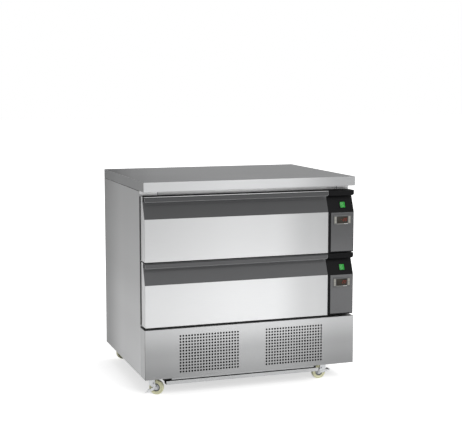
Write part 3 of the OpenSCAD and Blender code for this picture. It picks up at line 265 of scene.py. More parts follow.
# Painted shade: the rails' faces that look sideways are darkened
facing("rail_steel", "X", 0.1)
surface("caster_zinc", (0.62, 0.63, 0.64), 0.3, metal=0.55, tone=0.12, fine=110.0,
    broad=20.0, mottle=0.55, rough_spread=0.08, bump=0.05)
surface("zinc_steel", (0.50, 0.51, 0.52), 0.36, metal=0.6, tone=0.14, fine=110.0, broad=14.0,
    mottle=0.55, rough_spread=0.1, bump=0.05)
surface("slide_steel", (0.56, 0.57, 0.58), 0.3, metal=0.75, tone=0.07, grain=ALONG_Y, fine=500.0,
    broad=10.0, bump=0.05)
surface("pan_steel", (0.60, 0.61, 0.62), 0.26, metal=0.75, tone=0.06, grain=ALONG_X, fine=700.0,
    broad=4.0, bump=0.05)
surface("cap_steel", (0.62, 0.625, 0.63), 0.40, metal=0.3, tone=0.04, **BRUSHED, broad=2.2,
    mottle=0.6, specular=0.2, sweeps=(("X", FRONT_ACROSS), ("Z", CAPS_UP)))
surface("grip_plastic", (0.30, 0.303, 0.311), 0.55, tone=0.08, fine=900.0, broad=6.0,
    bump=0.12, specular=0.15, sweeps=(("Z", DARK_UP), ("Z", LIT_UNDER_LIPS)))
surface("plate_paint", (0.143, 0.144, 0.147), 0.5, tone=0.06, fine=700.0, broad=6.0,
    bump=0.1, specular=0.15, sweeps=(("Z", PLATE_UP),))
surface("foam_insulation", (0.60, 0.50, 0.28), 0.9, tone=0.12, fine=260.0, broad=14.0,
    bump=0.5, bump_depth=0.6 * MM, specular=0.2)
surface("core_board", (0.42, 0.29, 0.17), 0.85, tone=0.2, grain=ALONG_X, fine=160.0,
    broad=8.0, bump=0.3, specular=0.2)
surface("fin_aluminium", (0.55, 0.56, 0.57), 0.45, metal=0.6, tone=0.1, grain=ALONG_Z, fine=400.0,
    broad=12.0, bump=0.05)
surface("dark_fins", (0.05, 0.05, 0.052), 0.6, metal=0.2, tone=0.15, grain=ALONG_Z, fine=400.0,
    broad=12.0, bump=0.05, specular=0.2)
surface("cover_aluminium", (0.62, 0.63, 0.64), 0.38, metal=0.5, grain=ALONG_X,
    fine=600.0, broad=5.0, bump=0.05)
surface("display_glass", (0.030, 0.026, 0.020), 0.25, tone=0.1, broad=30.0,
    rough_spread=0.02, specular=0.12)
surface("filter_foam", (0.006, 0.006, 0.006), 0.9, tone=0.3, fine=420.0, broad=30.0,
    bump=0.8, bump_depth=1.0 * MM, specular=0.05)

# Plain finishes: colour, roughness, metal, tone, scales of grain and mottle, relief, specular
PLAIN = (
    # Painted shade: the cabinet floor and base pan are near black, standing in for the shade under the
    # unit
    ("underside_shade_paint", (0.02, 0.02, 0.021), 0.6, 0.0, 0.2, 200.0, 9.0, 0.2, 0.1),
    ("control_plastic", (0.0055, 0.0055, 0.006), 0.5, 0.0, 0.15, 900.0, 8.0, 0.12, 0.06),
    ("controller_plastic", (0.014, 0.014, 0.015), 0.42, 0.0, 0.12, 900.0, 20.0, 0.1, 0.2),
    ("rocker_lens", (0.012, 0.28, 0.028), 0.35, 0.0, 0.12, 300.0, 60.0, 0.0, 0.3),
    ("gasket_rubber", (0.02, 0.02, 0.021), 0.6, 0.0, 0.15, 500.0, 20.0, 0.1, 0.3),
    ("liner_plastic", (0.78, 0.79, 0.79), 0.35, 0.0, 0.02, 400.0, 3.0, 0.06, 0.5),
    ("compressor_paint", (0.012, 0.012, 0.013), 0.32, 0.0, 0.2, 300.0, 18.0, 0.08, 0.5),
    ("motor_paint", (0.06, 0.062, 0.065), 0.45, 0.0, 0.15, 300.0, 18.0, 0.08, 0.5),
    ("copper_tube", (0.58, 0.29, 0.17), 0.33, 0.85, 0.18, 120.0, 16.0, 0.04, 0.5),
    ("fan_plastic", (0.025, 0.025, 0.027), 0.42, 0.0, 0.12, 600.0, 30.0, 0.08, 0.5),
    ("fan_aluminium", (0.38, 0.39, 0.40), 0.4, 0.6, 0.1, 300.0, 20.0, 0.05, 0.5),
    ("gland_nylon", (0.05, 0.05, 0.052), 0.45, 0.0, 0.12, 700.0, 40.0, 0.1, 0.5),
    ("grip_edge_highlight", (0.22, 0.222, 0.225), 0.4, 0.0, 0.06, 900.0, 6.0, 0.0, 0.3),
    ("bezel_plastic", (0.115, 0.116, 0.118), 0.45, 0.0, 0.08, 900.0, 20.0, 0.1, 0.15),
    ("key_rubber", (0.30, 0.295, 0.265), 0.55, 0.0, 0.1, 600.0, 60.0, 0.08, 0.2),
    ("key_strip", (0.20, 0.197, 0.18), 0.5, 0.0, 0.1, 600.0, 60.0, 0.08, 0.2),
    ("pale_print", (0.55, 0.55, 0.54), 0.5, 0.0, 0.06, 600.0, 60.0, 0.0, 0.2),
    ("mark_paint", (0.20, 0.58, 0.22), 0.5, 0.0, 0.05, 300.0, 60.0, 0.0, 0.2),
    ("digit_glow", (0.20, 0.025, 0.015), 0.5, 0.0, 0.08, 300.0, 60.0, 0.0, 0.1),
    ("hub_steel", (0.40, 0.405, 0.42), 0.38, 0.5, 0.12, 200.0, 30.0, 0.05, 0.5),
    ("rim_steel", (0.12, 0.126, 0.14), 0.45, 0.2, 0.12, 200.0, 30.0, 0.05, 0.15),
    ("wheel_nylon", (0.80, 0.79, 0.54), 0.42, 0.0, 0.08, 300.0, 35.0, 0.1, 0.4),
)
for plain_settings in PLAIN:
    plain(*plain_settings)
glow = MATERIALS["digit_glow"].node_tree.nodes["Principled BSDF"].inputs
glow["Emission Color"].default_value = (1.0, 0.06, 0.03, 1)
glow["Emission Strength"].default_value = 0.04

WELD = 0.005 * MM
CREASE = math.radians(38)
NORMAL_SHARE = 100
NORMAL_SPREAD = 0.01


def both(name):
    """A node's name on each level."""
    return tuple(level + name for level in LEVELS)


def corners(name, ends=("front", "rear")):
    """A node's name at each corner."""
    return tuple(end + side + name for end in ends for side in ("_left", "_right"))


# The finish of each CAD node, and the radius of its rounded edges in millimetres
FINISHES = (
    ("worktop_steel", 1.2, ("worktop",)),
    ("side_steel", 0.9, ("left_side_panel", "right_side_panel")),
    ("side_steel", 0, ("back_panel",)),
    ("frame_steel", 0.4, ("front_frame",)),
    # The near-black underside is painted shade
    ("underside_shade_paint", 0.4, ("cabinet_floor", "base_pan")),
    ("plinth_steel", 0, ("grille_panel",)),
    ("front_steel", 0.9, both("_drawer_front")),
    ("grip_plastic", 0.7, both("_drawer_grip")),
    ("control_plastic", 0.7, both("_control_housing")),
    ("plate_paint", 0.4, both("_control_plate")),
    ("controller_plastic", 0.5, both("_controller")),
    ("rocker_lens", 0.8, both("_rocker")),
    ("gasket_rubber", 0.8, both("_drawer_gasket")),
    ("foam_insulation", 0, ("cabinet_foam", *both("_drawer_foam"))),
    ("core_board", 0, ("worktop_core",)),
    ("liner_plastic", 0.4, both("_liner")),
    ("rail_steel", 0.5, ("chassis_rails",)),
    ("zinc_steel", 0.3, ("caster_plates", "panel_screws")),
    ("caster_zinc", 0.4, corners("_fork")),
    ("wheel_nylon", 0.6, corners("_wheel")),
    ("caster_zinc", 0.4, corners("_brake", ("front",))),
    ("slide_steel", 0.2, ("outer_slides", *both("_middle_slides"))),
    ("slide_steel", 0.3, both("_drawer_frame")),
    ("pan_steel", 0, both("_pan")),
    ("fin_aluminium", 0, both("_evaporator")),
    ("cover_aluminium", 0.4, ("evaporator_covers",)),
    ("dark_fins", 0, ("condensers",)),
    ("motor_paint", 0.4, ("condenser_fan_motors",)),
    ("compressor_paint", 0, ("compressors",)),
    ("copper_tube", 0, ("refrigerant_lines",)),
    ("fan_plastic", 0.2, both("_evaporator_fan")),
    ("fan_aluminium", 0.2, ("left_condenser_fan", "right_condenser_fan")),
    ("gland_nylon", 0.4, ("cable_gland",)),
)


def dress(node, mat, radius):
    """Gives a CAD node its material and, where radius isn't 0, rounded edges."""
    obj = NODES[node]
    obj.data.materials.clear()
    obj.data.materials.append(MATERIALS[mat])
    if not radius:
        return
    weld = obj.modifiers.new("weld", "WELD")
    weld.merge_threshold = WELD
    bevel = obj.modifiers.new("bevel", "BEVEL")
    bevel.width = radius * MM
    bevel.segments = 2
    bevel.limit_method = "ANGLE"
    bevel.angle_limit = CREASE
    bevel.use_clamp_overlap = True
    normals = obj.modifiers.new("normals", "WEIGHTED_NORMAL")
    normals.weight = NORMAL_SHARE
    normals.thresh = NORMAL_SPREAD


for finish, edge_radius, names in FINISHES:
    for cad_name in names:
        dress(cad_name, finish, edge_radius)


# A shape is a pair of points and faces

MERGE = 0.002 * MM
# How round the edges of small parts are
EDGE = 0.15 * MM
FINE_EDGE = 0.1 * MM


def joined(shapes):
    """Several shapes as one."""
    points, faces = [], []
    for some_points, some_faces in shapes:
        start = len(points)
        points += some_points
        faces += [tuple(start + i for i in face) for face in some_faces]
    return points, faces


def middle(node):
    """The middle of a CAD node's box."""
    return [(low + high) / 2 for low, high in zip(*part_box(node))]


def placed(shape, matrix):
    return [matrix @ Vector(p) for p in shape[0]], shape[1]


def loft(rings, capped=True):
    """A skin over rings of equal length, each a list of points."""
    count = len(rings[0])
    points = [tuple(p) for ring in rings for p in ring]
    faces = []
    for i in range(len(rings) - 1):
        for j in range(count):
            k = (j + 1) % count
            faces.append((i * count + j, i * count + k, (i + 1) * count + k, (i + 1) * count + j))
    if capped:
        faces.append(tuple(reversed(range(count))))
        faces.append(tuple(range((len(rings) - 1) * count, len(rings) * count)))
    return points, faces


def arc(centre, radius, start, end, steps):
    """Points on an arc in a plane, angles in degrees."""
    angles = [math.radians(start + (end - start) * i / steps) for i in range(steps + 1)]
    return [(centre[0] + radius * math.cos(a), centre[1] + radius * math.sin(a)) for a in angles]


def rounded_outline(x0, x1, y0, y1, radius, steps=5):
    """A rectangle with round corners, anticlockwise."""
    points = []
    for cx, cy, start in ((x1 - radius, y0 + radius, -90), (x1 - radius, y1 - radius, 0),
                          (x0 + radius, y1 - radius, 90), (x0 + radius, y0 + radius, 180)):
        points += arc((cx, cy), radius, start, start + 90, steps)
    return points


def soft_block(low, high, radius, steps=3):
    """A block whose edges are all rounded."""
    rings = []
    for i in range(steps + 1):
        angle = math.radians(90 * i / steps)
        inset, drop = radius * (1 - math.sin(angle)), radius * (1 - math.cos(angle))
        rings.append((inset, low[2] + drop))
    rings += [(inset, high[2] - (z - low[2])) for inset, z in reversed(rings)]
    skins = []
    for inset, z in rings:
        corner = max(radius - inset, radius * 0.15)
        skins.append([(x, y, z) for x, y in rounded_outline(low[0] + inset, high[0] - inset,
            low[1] + inset, high[1] - inset, corner, steps)])
    return loft(skins)


def circle(radius, steps):
    """Points round a circle in a plane."""
    angles = [math.tau * i / steps for i in range(steps)]
    return [(radius * math.cos(a), radius * math.sin(a)) for a in angles]


def in_mm(profile):
    return [(r * MM, z * MM) for r, z in profile]


def lathe(profile, steps, solid=True):
    """A turned shape round the Z axis, from (radius, height) pairs. Where it isn't solid, the
    profile is the closed section of a ring."""
    rings = [[(x, y, z) for x, y in circle(r, steps)] for r, z in profile]
    if not solid:
        rings.append(rings[0])
    return loft(rings, solid)


def along(axis):
    """A rotation that turns Z to axis."""
    return Vector(axis).to_track_quat("Z", "Y").to_matrix().to_4x4()


def tube(path, radius, sides=6, closed=False):
    """A round tube along a path of points."""
    path = [Vector(p) for p in path]
    count = len(path)
    rings = []
    normal = None
    for i, point in enumerate(path):
        before = path[(i - 1) % count] if closed or i else point
        after = path[(i + 1) % count] if closed or i < count - 1 else point
        tangent = (after - before).normalized()
        if normal is None:
            normal = tangent.orthogonal().normalized()
        normal = (normal - tangent * normal.dot(tangent)).normalized()
        side = tangent.cross(normal)
        rings.append([point + radius * (c * normal + s * side) for c, s in circle(1, sides)])
    if closed:
        rings.append(rings[0])
    return loft(rings, not closed)


def make_piece(name, shape, mat, body, stands_for=(), smooth=35):
    """A mesh object from a shape, in place, that rides on a body."""
    mesh = bpy.data.meshes.new(name)
    mesh.from_pydata([tuple(p) for p in shape[0]], [], shape[1])
    tidy = bmesh.new()
    tidy.from_mesh(mesh)
    bmesh.ops.remove_doubles(tidy, verts=tidy.verts, dist=MERGE)
    bmesh.ops.recalc_face_normals(tidy, faces=tidy.faces)
    tidy.to_mesh(mesh)
    tidy.free()
    mesh.shade_smooth()
    mesh.set_sharp_from_angle(angle=math.radians(smooth))
    mesh.materials.append(MATERIALS[mat])
    obj = bpy.data.objects.new(name, mesh)
    bpy.context.collection.objects.link(obj)
    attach(obj, body)
    if stands_for:
        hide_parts(*stands_for)
    return obj


# Drawer trims

CAP_TOP = 0.3 * MM
CAP_H = 2.1 * MM
CAP_PROUD = 0.5 * MM
CAP_DEEP = 2.6 * MM
CAP_EDGE = 0.5 * MM
LINE_H = 2.8 * MM
LINE_PROUD = 0.25 * MM
LINE_SHORT = 0.5 * MM
LINE_EDGE = 0.2 * MM
STRIP_SUNK = 0.1 * MM
LIP_H = 21 * MM
LIP_CORNER = 8 * MM
BEAD_R = 0.85 * MM
BEAD_OUT = 0.1 * MM
BEND_STEPS = 8
HEM_W = 8 * MM
HEM_T = 0.35 * MM
HEM_START = 0.4 * MM
HEM_SHORT = 0.6 * MM
GRIP_FOOT = 88 * MM


def drawer_cap(level):
    """The steel edge of the drawer over the grip; the dark line under it and the dark top strip behind it
    are painted shade of the gaps round it.
    """
    low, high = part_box(level + "_drawer_front")
    body = level + "_drawer"
    top = high[2] + CAP_TOP
    front = low[1] - CAP_PROUD
    cap = soft_block((low[0], front, top - CAP_H), (high[0], front + CAP_DEEP, top), CAP_EDGE)
    make_piece(level + "_drawer_cap", cap, "cap_steel", body)
    # Painted shade: a dark strip for the shadow between the steel edge and the lip
    line = soft_block((low[0] + LINE_SHORT, low[1] - LINE_PROUD, top - CAP_H - LINE_H),
        (high[0] - LINE_SHORT, low[1] + MM, top - CAP_H), LINE_EDGE)
    make_piece(level + "_cap_line", line, "gasket_rubber", body)
    # Painted shade: the drawer's top is covered dark where the gap under the worktop is in shade
    strip = soft_block((low[0] + MM, front + CAP_DEEP, high[2] - STRIP_SUNK), (high[0] - MM, high[1], top),
        EDGE)
    make_piece(level + "_top_strip", strip, "control_plastic", body)


def lip_bead(level):
    """The rounded edge round the lower side of the pull lip, paler than the grip as a painted highlight.
    """
    low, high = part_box(level + "_drawer_grip")
    start = high[2] - CAP_H - LINE_H
    foot = high[2] - LIP_H
    x0, x1 = low[0] + BEAD_R, high[0] - BEAD_R
    radius = LIP_CORNER - BEAD_R
    z = foot + BEAD_R + radius
    outline = [(x0, start)] + arc((x0 + radius, z), radius, 180, 270, BEND_STEPS)
    outline += arc((x1 - radius, z), radius, 270, 360, BEND_STEPS) + [(x1, start)]
    path = [(x, low[1] - BEAD_OUT, z) for x, z in outline]
    make_piece(level + "_lip_bead", tube(path, BEAD_R, 8), "grip_edge_highlight", level + "_drawer")


def drawer_hems(level):
    """The front sheet folded back round both sides of the drawer front."""
    low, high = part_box(level + "_drawer_front")
    top = high[2] - GRIP_FOOT - HEM_SHORT
    hems = [soft_block((x0, low[1] + HEM_START, low[2] + HEM_START), (x0 + HEM_T, low[1] + HEM_W, top),
        EDGE) for x0 in (low[0] - HEM_T, high[0])]
    make_piece(level + "_drawer_hems", joined(hems), "front_steel", level + "_drawer")


# The gasket's section: (distance outward from its inner edge, distance from the drawer front)
GASKET_SECTION = ((0, 0), (14, 0), (14, 2), (11.5, 3), (12.7, 4.1), (11.0, 5.3), (12.6, 6.8),
                  (12.3, 9.4), (11.0, 10.5), (3.0, 10.5), (1.7, 9.4), (1.4, 6.8), (3.0, 5.3),
                  (1.3, 4.1), (2.5, 3), (0, 2))


def bellows_gasket(level):
    """The folded seal on the back of the drawer front, mitred at its corners."""
    node = level + "_drawer_gasket"
    low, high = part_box(node)
    section_w = max(u for u, v in GASKET_SECTION) * MM
    scale = (high[1] - low[1]) / (max(v for u, v in GASKET_SECTION) * MM)
    rings = []
    for sx, sz in ((-1, -1), (1, -1), (1, 1), (-1, 1), (-1, -1)):
        corner_x = low[0] + section_w if sx < 0 else high[0] - section_w
        corner_z = low[2] + section_w if sz < 0 else high[2] - section_w
        rings.append([(corner_x + sx * u * MM, low[1] + v * MM * scale, corner_z + sz * u * MM)
            for u, v in GASKET_SECTION])
    make_piece(level + "_bellows_gasket", loft(rings, False), "gasket_rubber", level + "_drawer",
        (node,), smooth=50)


# Pans

PAN_SHEET = 0.8 * MM
PAN_BEND = 12.0
PAN_STEPS = 5


def food_pan(level):
    """A pressed pan: flat rim, shoulder, tapered walls and a rounded floor."""
    node = level + "_pan"
    low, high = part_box(node)
    drop = (high[2] - low[2]) / MM
    floor = drop - 1.2
    # (inset from the rim's edge, depth below the rim, corner radius), in millimetres
    section = [(0.3, 0.9, 6), (0, 0.5, 6), (0.3, 0, 6), (10.5, 0, 14), (11.6, 0.4, 18),
               (12.6, 1.5, 20), (13.0, 3.5, 22), (13.4, 26, 22), (14.0, 27.5, 23),
               (16.2, 29, 25), (16.8, 31, 26), (20.0, 130, 30)]
    for i in range(1, PAN_STEPS + 1):
        angle = math.radians(90 * i / PAN_STEPS)
        section.append((20.3 + PAN_BEND * (1 - math.cos(angle)), floor - PAN_BEND * (1 - math.sin(angle)),
            30))
    section += [(46, floor, 30), (50, drop - 0.6, 30)]
    rings = []
    for inset, depth, radius in section:
        outline = rounded_outline(low[0] + inset * MM, high[0] - inset * MM, low[1] + inset * MM,
            high[1] - inset * MM, radius * MM, 6)
        rings.append([(x, y, high[2] - depth * MM) for x, y in outline])
    points, faces = loft(rings, False)
    faces.append(tuple(range(len(points) - len(rings[0]), len(points))))
    shell = make_piece(level + "_food_pan", (points, faces), "pan_steel", level + "_drawer",
        (node,), smooth=40)
    sheet = shell.modifiers.new("sheet", "SOLIDIFY")
    sheet.thickness = PAN_SHEET
    sheet.offset = -1


# Fans

# For each kind of fan, its hub's share of its radius, its blades' depth and its shaft's radius
FANS = {"fan_plastic": (0.36, 15.0 * MM, 1.5 * MM), "fan_aluminium": (0.29, 20.0 * MM, 3.0 * MM)}
BLADES = 5
BLADE_STEPS = 8
HUB_STEPS = 40
# Half the angle that a blade spans at its root, what its tip has more, and how far it is swept
ROOT_HALF, TIP_MORE, SWEPT = 22, 10, 14
GUARD_WIRE = 0.6 * MM
GUARD_OVER = 6 * MM


def fan_rotor(side, node, body, kind):
    """A turned hub with curved, twisted blades, inside the CAD fan's space."""
    low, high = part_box(node)
    cx, _, cz = middle(node)
    hub_share, depth, shaft_r = FANS[kind]
    fan_radius = (high[0] - low[0]) / 2
    hub_r = fan_radius * hub_share
    y0 = low[1]
    cap = [(0.02 * hub_r, 0), (0.35 * hub_r, 0.004 * depth), (0.75 * hub_r, 0.06 * depth),
           (0.93 * hub_r, 0.18 * depth), (hub_r, 0.38 * depth), (hub_r, depth),
           (hub_r * 0.9, depth), (hub_r * 0.88, depth * 0.9), (shaft_r, depth * 0.9),
           (shaft_r, high[1] - y0)]
    turn = Matrix.Translation((cx, y0, cz)) @ along((0, 1, 0))
    shapes = [placed(lathe(cap, HUB_STEPS), turn)]
    root, tip = hub_r * 0.97, fan_radius * 0.985
    for b in range(BLADES):
        rings = []
        for i in range(BLADE_STEPS + 1):
            u = i / BLADE_STEPS
            half = math.radians(ROOT_HALF + TIP_MORE * u)
            sweep = math.radians(SWEPT) * u * u
            front, back = [], []
            for j in range(BLADE_STEPS + 1):
                v = -1 + 2 * j / BLADE_STEPS
                # The tip's corners are round, the blade is twisted and cupped, its edges thin
                r = (root + (tip - root) * u) * (1 - 0.22 * (u ** 6) * (v * v))
                angle = math.tau * b / BLADES + sweep + half * v
                rise = depth * (0.5 + 0.36 * v * (1 - 0.25 * u) + 0.06 * (1 - v * v))
                thick = depth * 0.035 * (1 - 0.75 * v * v) + 0.15 * MM
                for row, y in ((front, y0 + rise + thick), (back, y0 + rise - thick)):
                    row.append((cx + r * math.cos(angle), y, cz + r * math.sin(angle)))
            rings.append(front + back[::-1])
        shapes.append(loft(rings))
    make_piece(side + "_fan_rotor", joined(shapes), kind, body, (node,), smooth=45)


def fan_guard(level):
    """Wire rings and spokes over the mouth of the evaporator fan."""
    node = level + "_evaporator_fan"
    low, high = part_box(node)
    cx, _, cz = middle(node)
    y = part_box("evaporator_covers")[0][1] - GUARD_WIRE
    mouth = (high[0] - low[0]) / 2 + GUARD_OVER
    shapes = []
    for share in (0.28, 0.46, 0.64, 0.82, 1.0):
        ring = [(cx + px, y, cz + pz) for px, pz in circle(mouth * share, 48)]
        shapes.append(tube(ring, GUARD_WIRE, closed=True))
    for i in range(4):
        angle = math.radians(45 + 90 * i)
        spoke = [(cx + mouth * share * math.cos(angle), y - 1.1 * GUARD_WIRE,
            cz + mouth * share * math.sin(angle)) for share in (0.24, 0.65, 1.06)]
        shapes.append(tube(spoke, GUARD_WIRE))
    make_piece(level + "_fan_guard", joined(shapes), "slide_steel", "cabinet")


# Controls

SEGMENTS = {"0": "abcdef", "2": "abged", "-": "g"}
READINGS = {"upper": "-20", "lower": "20"}
DIGIT_W = 7.0 * MM
DIGIT_H = 12.5 * MM
DIGIT_GAP = 3.0 * MM
DIGIT_UP = 0.5 * MM
STROKE = 1.4 * MM
STROKE_GAP = 0.25 * MM
LEAN = 0.16
# Half the width and half the height of the window
WIN_W = 24.5 * MM
WIN_H = 14.5 * MM
WIN_MARGIN = 4.5 * MM
GLASS_INSET = 0.6 * MM
STRIP_HALF = 5.0 * MM
STRIP_OVER = 0.5 * MM
KEY_HALF = 4.2 * MM
KEY_TALL = 12.8 * MM
KEY_PITCH = 14.6 * MM
KEY_EDGE = 0.25 * MM
SILL_H = 3.4 * MM
PRINT_EDGE = 0.05 * MM
# How far in the controller's body is behind its bezel, sideways and upright
BODY_IN = 3 * MM
BODY_UP = 6 * MM


def segment_blocks(char, x, z, y0, y1):
    """The lit segments of one digit whose lower left corner is (x, z)."""
    mid, half, gap = DIGIT_H / 2, STROKE / 2, STROKE_GAP
    bars = {"a": (x + half, x + DIGIT_W - half, z + DIGIT_H - STROKE, z + DIGIT_H),
            "d": (x + half, x + DIGIT_W - half, z, z + STROKE),
            "g": (x + half, x + DIGIT_W - half, z + mid - half, z + mid + half),
            "f": (x, x + STROKE, z + mid + gap, z + DIGIT_H - half),
            "b": (x + DIGIT_W - STROKE, x + DIGIT_W, z + mid + gap, z + DIGIT_H - half),
            "e": (x, x + STROKE, z + half, z + mid - gap),
            "c": (x + DIGIT_W - STROKE, x + DIGIT_W, z + half, z + mid - gap)}
    return [soft_block((bars[s][0], y0, bars[s][2]), (bars[s][1], y1, bars[s][3]), FINE_EDGE, 2)
        for s in SEGMENTS[char]]


def controller(level):
    """The thermostat: bezel and body, dark window, red digits, pale keys."""
    node = level + "_controller"
    low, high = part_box(node)
    cx, _, cz = middle(node)
    plate_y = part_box(level + "_control_plate")[0][1]
    y0 = low[1]
    half_w, half_h = (high[0] - low[0]) / 2, (high[2] - low[2]) / 2
    body_w, body_h = half_w - BODY_IN, half_h - BODY_UP
    # Half the width, half the height, the corner radius and the place of each ring
    rings = [(body_w - MM, body_h - MM, 1.0, high[1]),
             (body_w, body_h, 1.5, high[1] - 1.5 * MM), (body_w, body_h, 1.5, plate_y),
             (half_w, half_h, 2, plate_y), (half_w, half_h, 2, y0 + 0.8 * MM),
             (half_w - 0.3 * MM, half_h - 0.3 * MM, 1.8, y0 + 0.25 * MM),
             (half_w - 0.9 * MM, half_h - 0.9 * MM, 1.5, y0),
             (WIN_W + 1.2 * MM, WIN_H + 1.2 * MM, 1.6, y0 + 0.1 * MM),
             (WIN_W, WIN_H, 1.2, y0 + 1.1 * MM),
             (WIN_W - 0.5 * MM, WIN_H - 0.5 * MM, 1.0, y0 + 1.2 * MM)]
    case = loft([[(cx + px, y, cz + pz) for px, pz in rounded_outline(-w, w, -h, h, r * MM)]
        for w, h, r, y in rings])
    glass = soft_block((cx - WIN_W + GLASS_INSET, y0 + 0.75 * MM, cz - WIN_H + GLASS_INSET),
        (cx + WIN_W - GLASS_INSET, y0 + 1.3 * MM, cz + WIN_H - GLASS_INSET), EDGE)
    text = READINGS[level]
    pitch = DIGIT_W + DIGIT_GAP
    start = cx + WIN_W - WIN_MARGIN - len(text) * pitch + DIGIT_GAP
    lit = []
    for i, char in enumerate(text):
        lit += segment_blocks(char, start + i * pitch, cz - DIGIT_H / 2 + DIGIT_UP, y0 + 0.6 * MM,
            y0 + 0.8 * MM)
    points, faces = joined(lit)
    digits = ([(x + LEAN * (z - cz), y, z) for x, y, z in points], faces)
    keys, strips = [], []
    for side in (-1, 1):
        kx = cx + side * (WIN_W + half_w) / 2
        strips.append(soft_block((kx - STRIP_HALF, y0 - 0.1 * MM, cz - WIN_H - STRIP_OVER),
            (kx + STRIP_HALF, y0 + 0.3 * MM, cz + WIN_H + STRIP_OVER), EDGE))
        for up in (-1, 1):
            kz = cz + up * KEY_PITCH / 2
            keys.append(soft_block((kx - KEY_HALF, y0 - 0.35 * MM, kz - KEY_TALL / 2),
                (kx + KEY_HALF, y0 + 0.2 * MM, kz + KEY_TALL / 2), KEY_EDGE))
    sill = cz - WIN_H - SILL_H
    strips.append(soft_block((cx - WIN_W, y0 - 0.1 * MM, sill),
        (cx + WIN_W, y0 + 0.3 * MM, sill + SILL_H - 0.5 * MM), EDGE))
    sill_print = soft_block((cx + 0.3 * WIN_W, y0 - 0.18 * MM, sill + 0.3 * MM),
        (cx + WIN_W, y0, sill + SILL_H - 0.8 * MM), PRINT_EDGE)
    make_piece(level + "_controller_case", case, "bezel_plastic", "cabinet", (node,),
        smooth=30)
    for name, shape, mat in (("_display_glass", glass, "display_glass"),
                             ("_display_digits", digits, "digit_glow"),
                             ("_controller_keys", joined(keys), "key_rubber"),
                             ("_key_strips", joined(strips), "key_strip"),
                             ("_sill_print", sill_print, "pale_print")):
        make_piece(level + name, shape, mat, "cabinet")


# Half the width and half the height of the switch, and its place on the slope
ROCKER_W = 11 * MM
ROCKER_H = 12 * MM
ROCKER_RIGHT = 5 * MM
ROCKER_DOWN = 7 * MM
ROCKER_DEEP = 13.5 * MM
ROCKER_STEPS = 12
ROCKER_EDGE = 0.9 * MM
# How far its face stands out in the middle, and how much more at its upper and lower ends
ROCKER_FACE = 0.8 * MM
ROCKER_RISE = 1.5 * MM
# How far in its back is at those ends, and how much more in the middle
ROCKER_BACK = 6.0 * MM
ROCKER_KEEL = 3.0 * MM
PIN_R = 0.9 * MM
PIN_HALF = 12.2 * MM
PIN_DEEP = 4 * MM
MARK_R = 2.4 * MM
MARK_WIRE = 0.55 * MM
SLOPE = math.atan2(27, 67)


def slope_matrix(level):
    """From the rocker's own frame, outward as -Y, to its place on the slope."""
    low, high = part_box(level + "_control_housing")
    mid = (high[2] - low[2] - GRIP_FOOT) + (GRIP_FOOT - LIP_H) / 2
    place = (middle(level + "_control_plate")[0], low[1] + ROCKER_DEEP, low[2] + mid)
    slope = Matrix.Translation(place) @ Matrix.Rotation(-SLOPE, 4, "X")
    return slope @ Matrix.Translation((ROCKER_RIGHT, 0, -ROCKER_DOWN))


def rocker(level):
    """The lit switch: a saddle-shaped lens with rounded edges, and its two marks."""
    turn = slope_matrix(level)
    rings = []
    for i in range(-ROCKER_STEPS, ROCKER_STEPS + 1):
        t = i / ROCKER_STEPS
        z = ROCKER_H * t
        edge = ROCKER_EDGE if abs(i) == ROCKER_STEPS else 0.0
        back = ROCKER_BACK + ROCKER_KEEL * (1 - abs(t))
        front = -(ROCKER_FACE + ROCKER_RISE * t * t) + edge * 0.6
        right = [(ROCKER_W - edge - 1.0 * MM, front, z),
                 (ROCKER_W - edge - 0.3 * MM, front + 0.3 * MM, z),
                 (ROCKER_W - edge, front + 0.9 * MM, z), (ROCKER_W - edge, back, z)]
        rings.append([(-x, y, z) for x, y, z in reversed(right)] + right)
    pin = placed(lathe([(PIN_R, -PIN_HALF), (PIN_R, PIN_HALF)], 12),
        Matrix.Translation((0, PIN_DEEP, 0)) @ along((1, 0, 0)))
    make_piece(level + "_rocker_lens", placed(joined([loft(rings), pin]), turn), "rocker_lens",
        level + "_switch", (level + "_rocker",), smooth=40)
    bar = soft_block((-0.7 * MM, -2.15 * MM, 3.6 * MM), (0.7 * MM, -1.2 * MM, 8.2 * MM), 0.2 * MM)
    ring = [(x, -1.75 * MM, -6.0 * MM + z) for x, z in circle(MARK_R, 32)]
    marks = joined([bar, tube(ring, MARK_WIRE, closed=True)])
    make_piece(level + "_rocker_marks", placed(marks, turn), "mark_paint", level + "_switch")


# Casters

# How far each caster is turned about its swivel axis, in degrees
TURNS = {"front_left": -35, "front_right": 180, "rear_left": 15, "rear_right": 150}
# The sizes of the casters, in millimetres
TYRE_R = 30
HUB_R = 16.5
CONE_R = 11.6
BORE_R = 3.1
AXLE_R = 2.7
NUT_FACE = 18.1
LEG_FACE = 13.0
DIMPLE_R = 4.2
DIMPLE_BACK = 8.5
DIMPLE_UP = 17
PRESSED_T = 0.5
# Points that stand for the middle of a turned end are this far from its axis
TIP_R = 0.05
TYRE_STEPS = 48


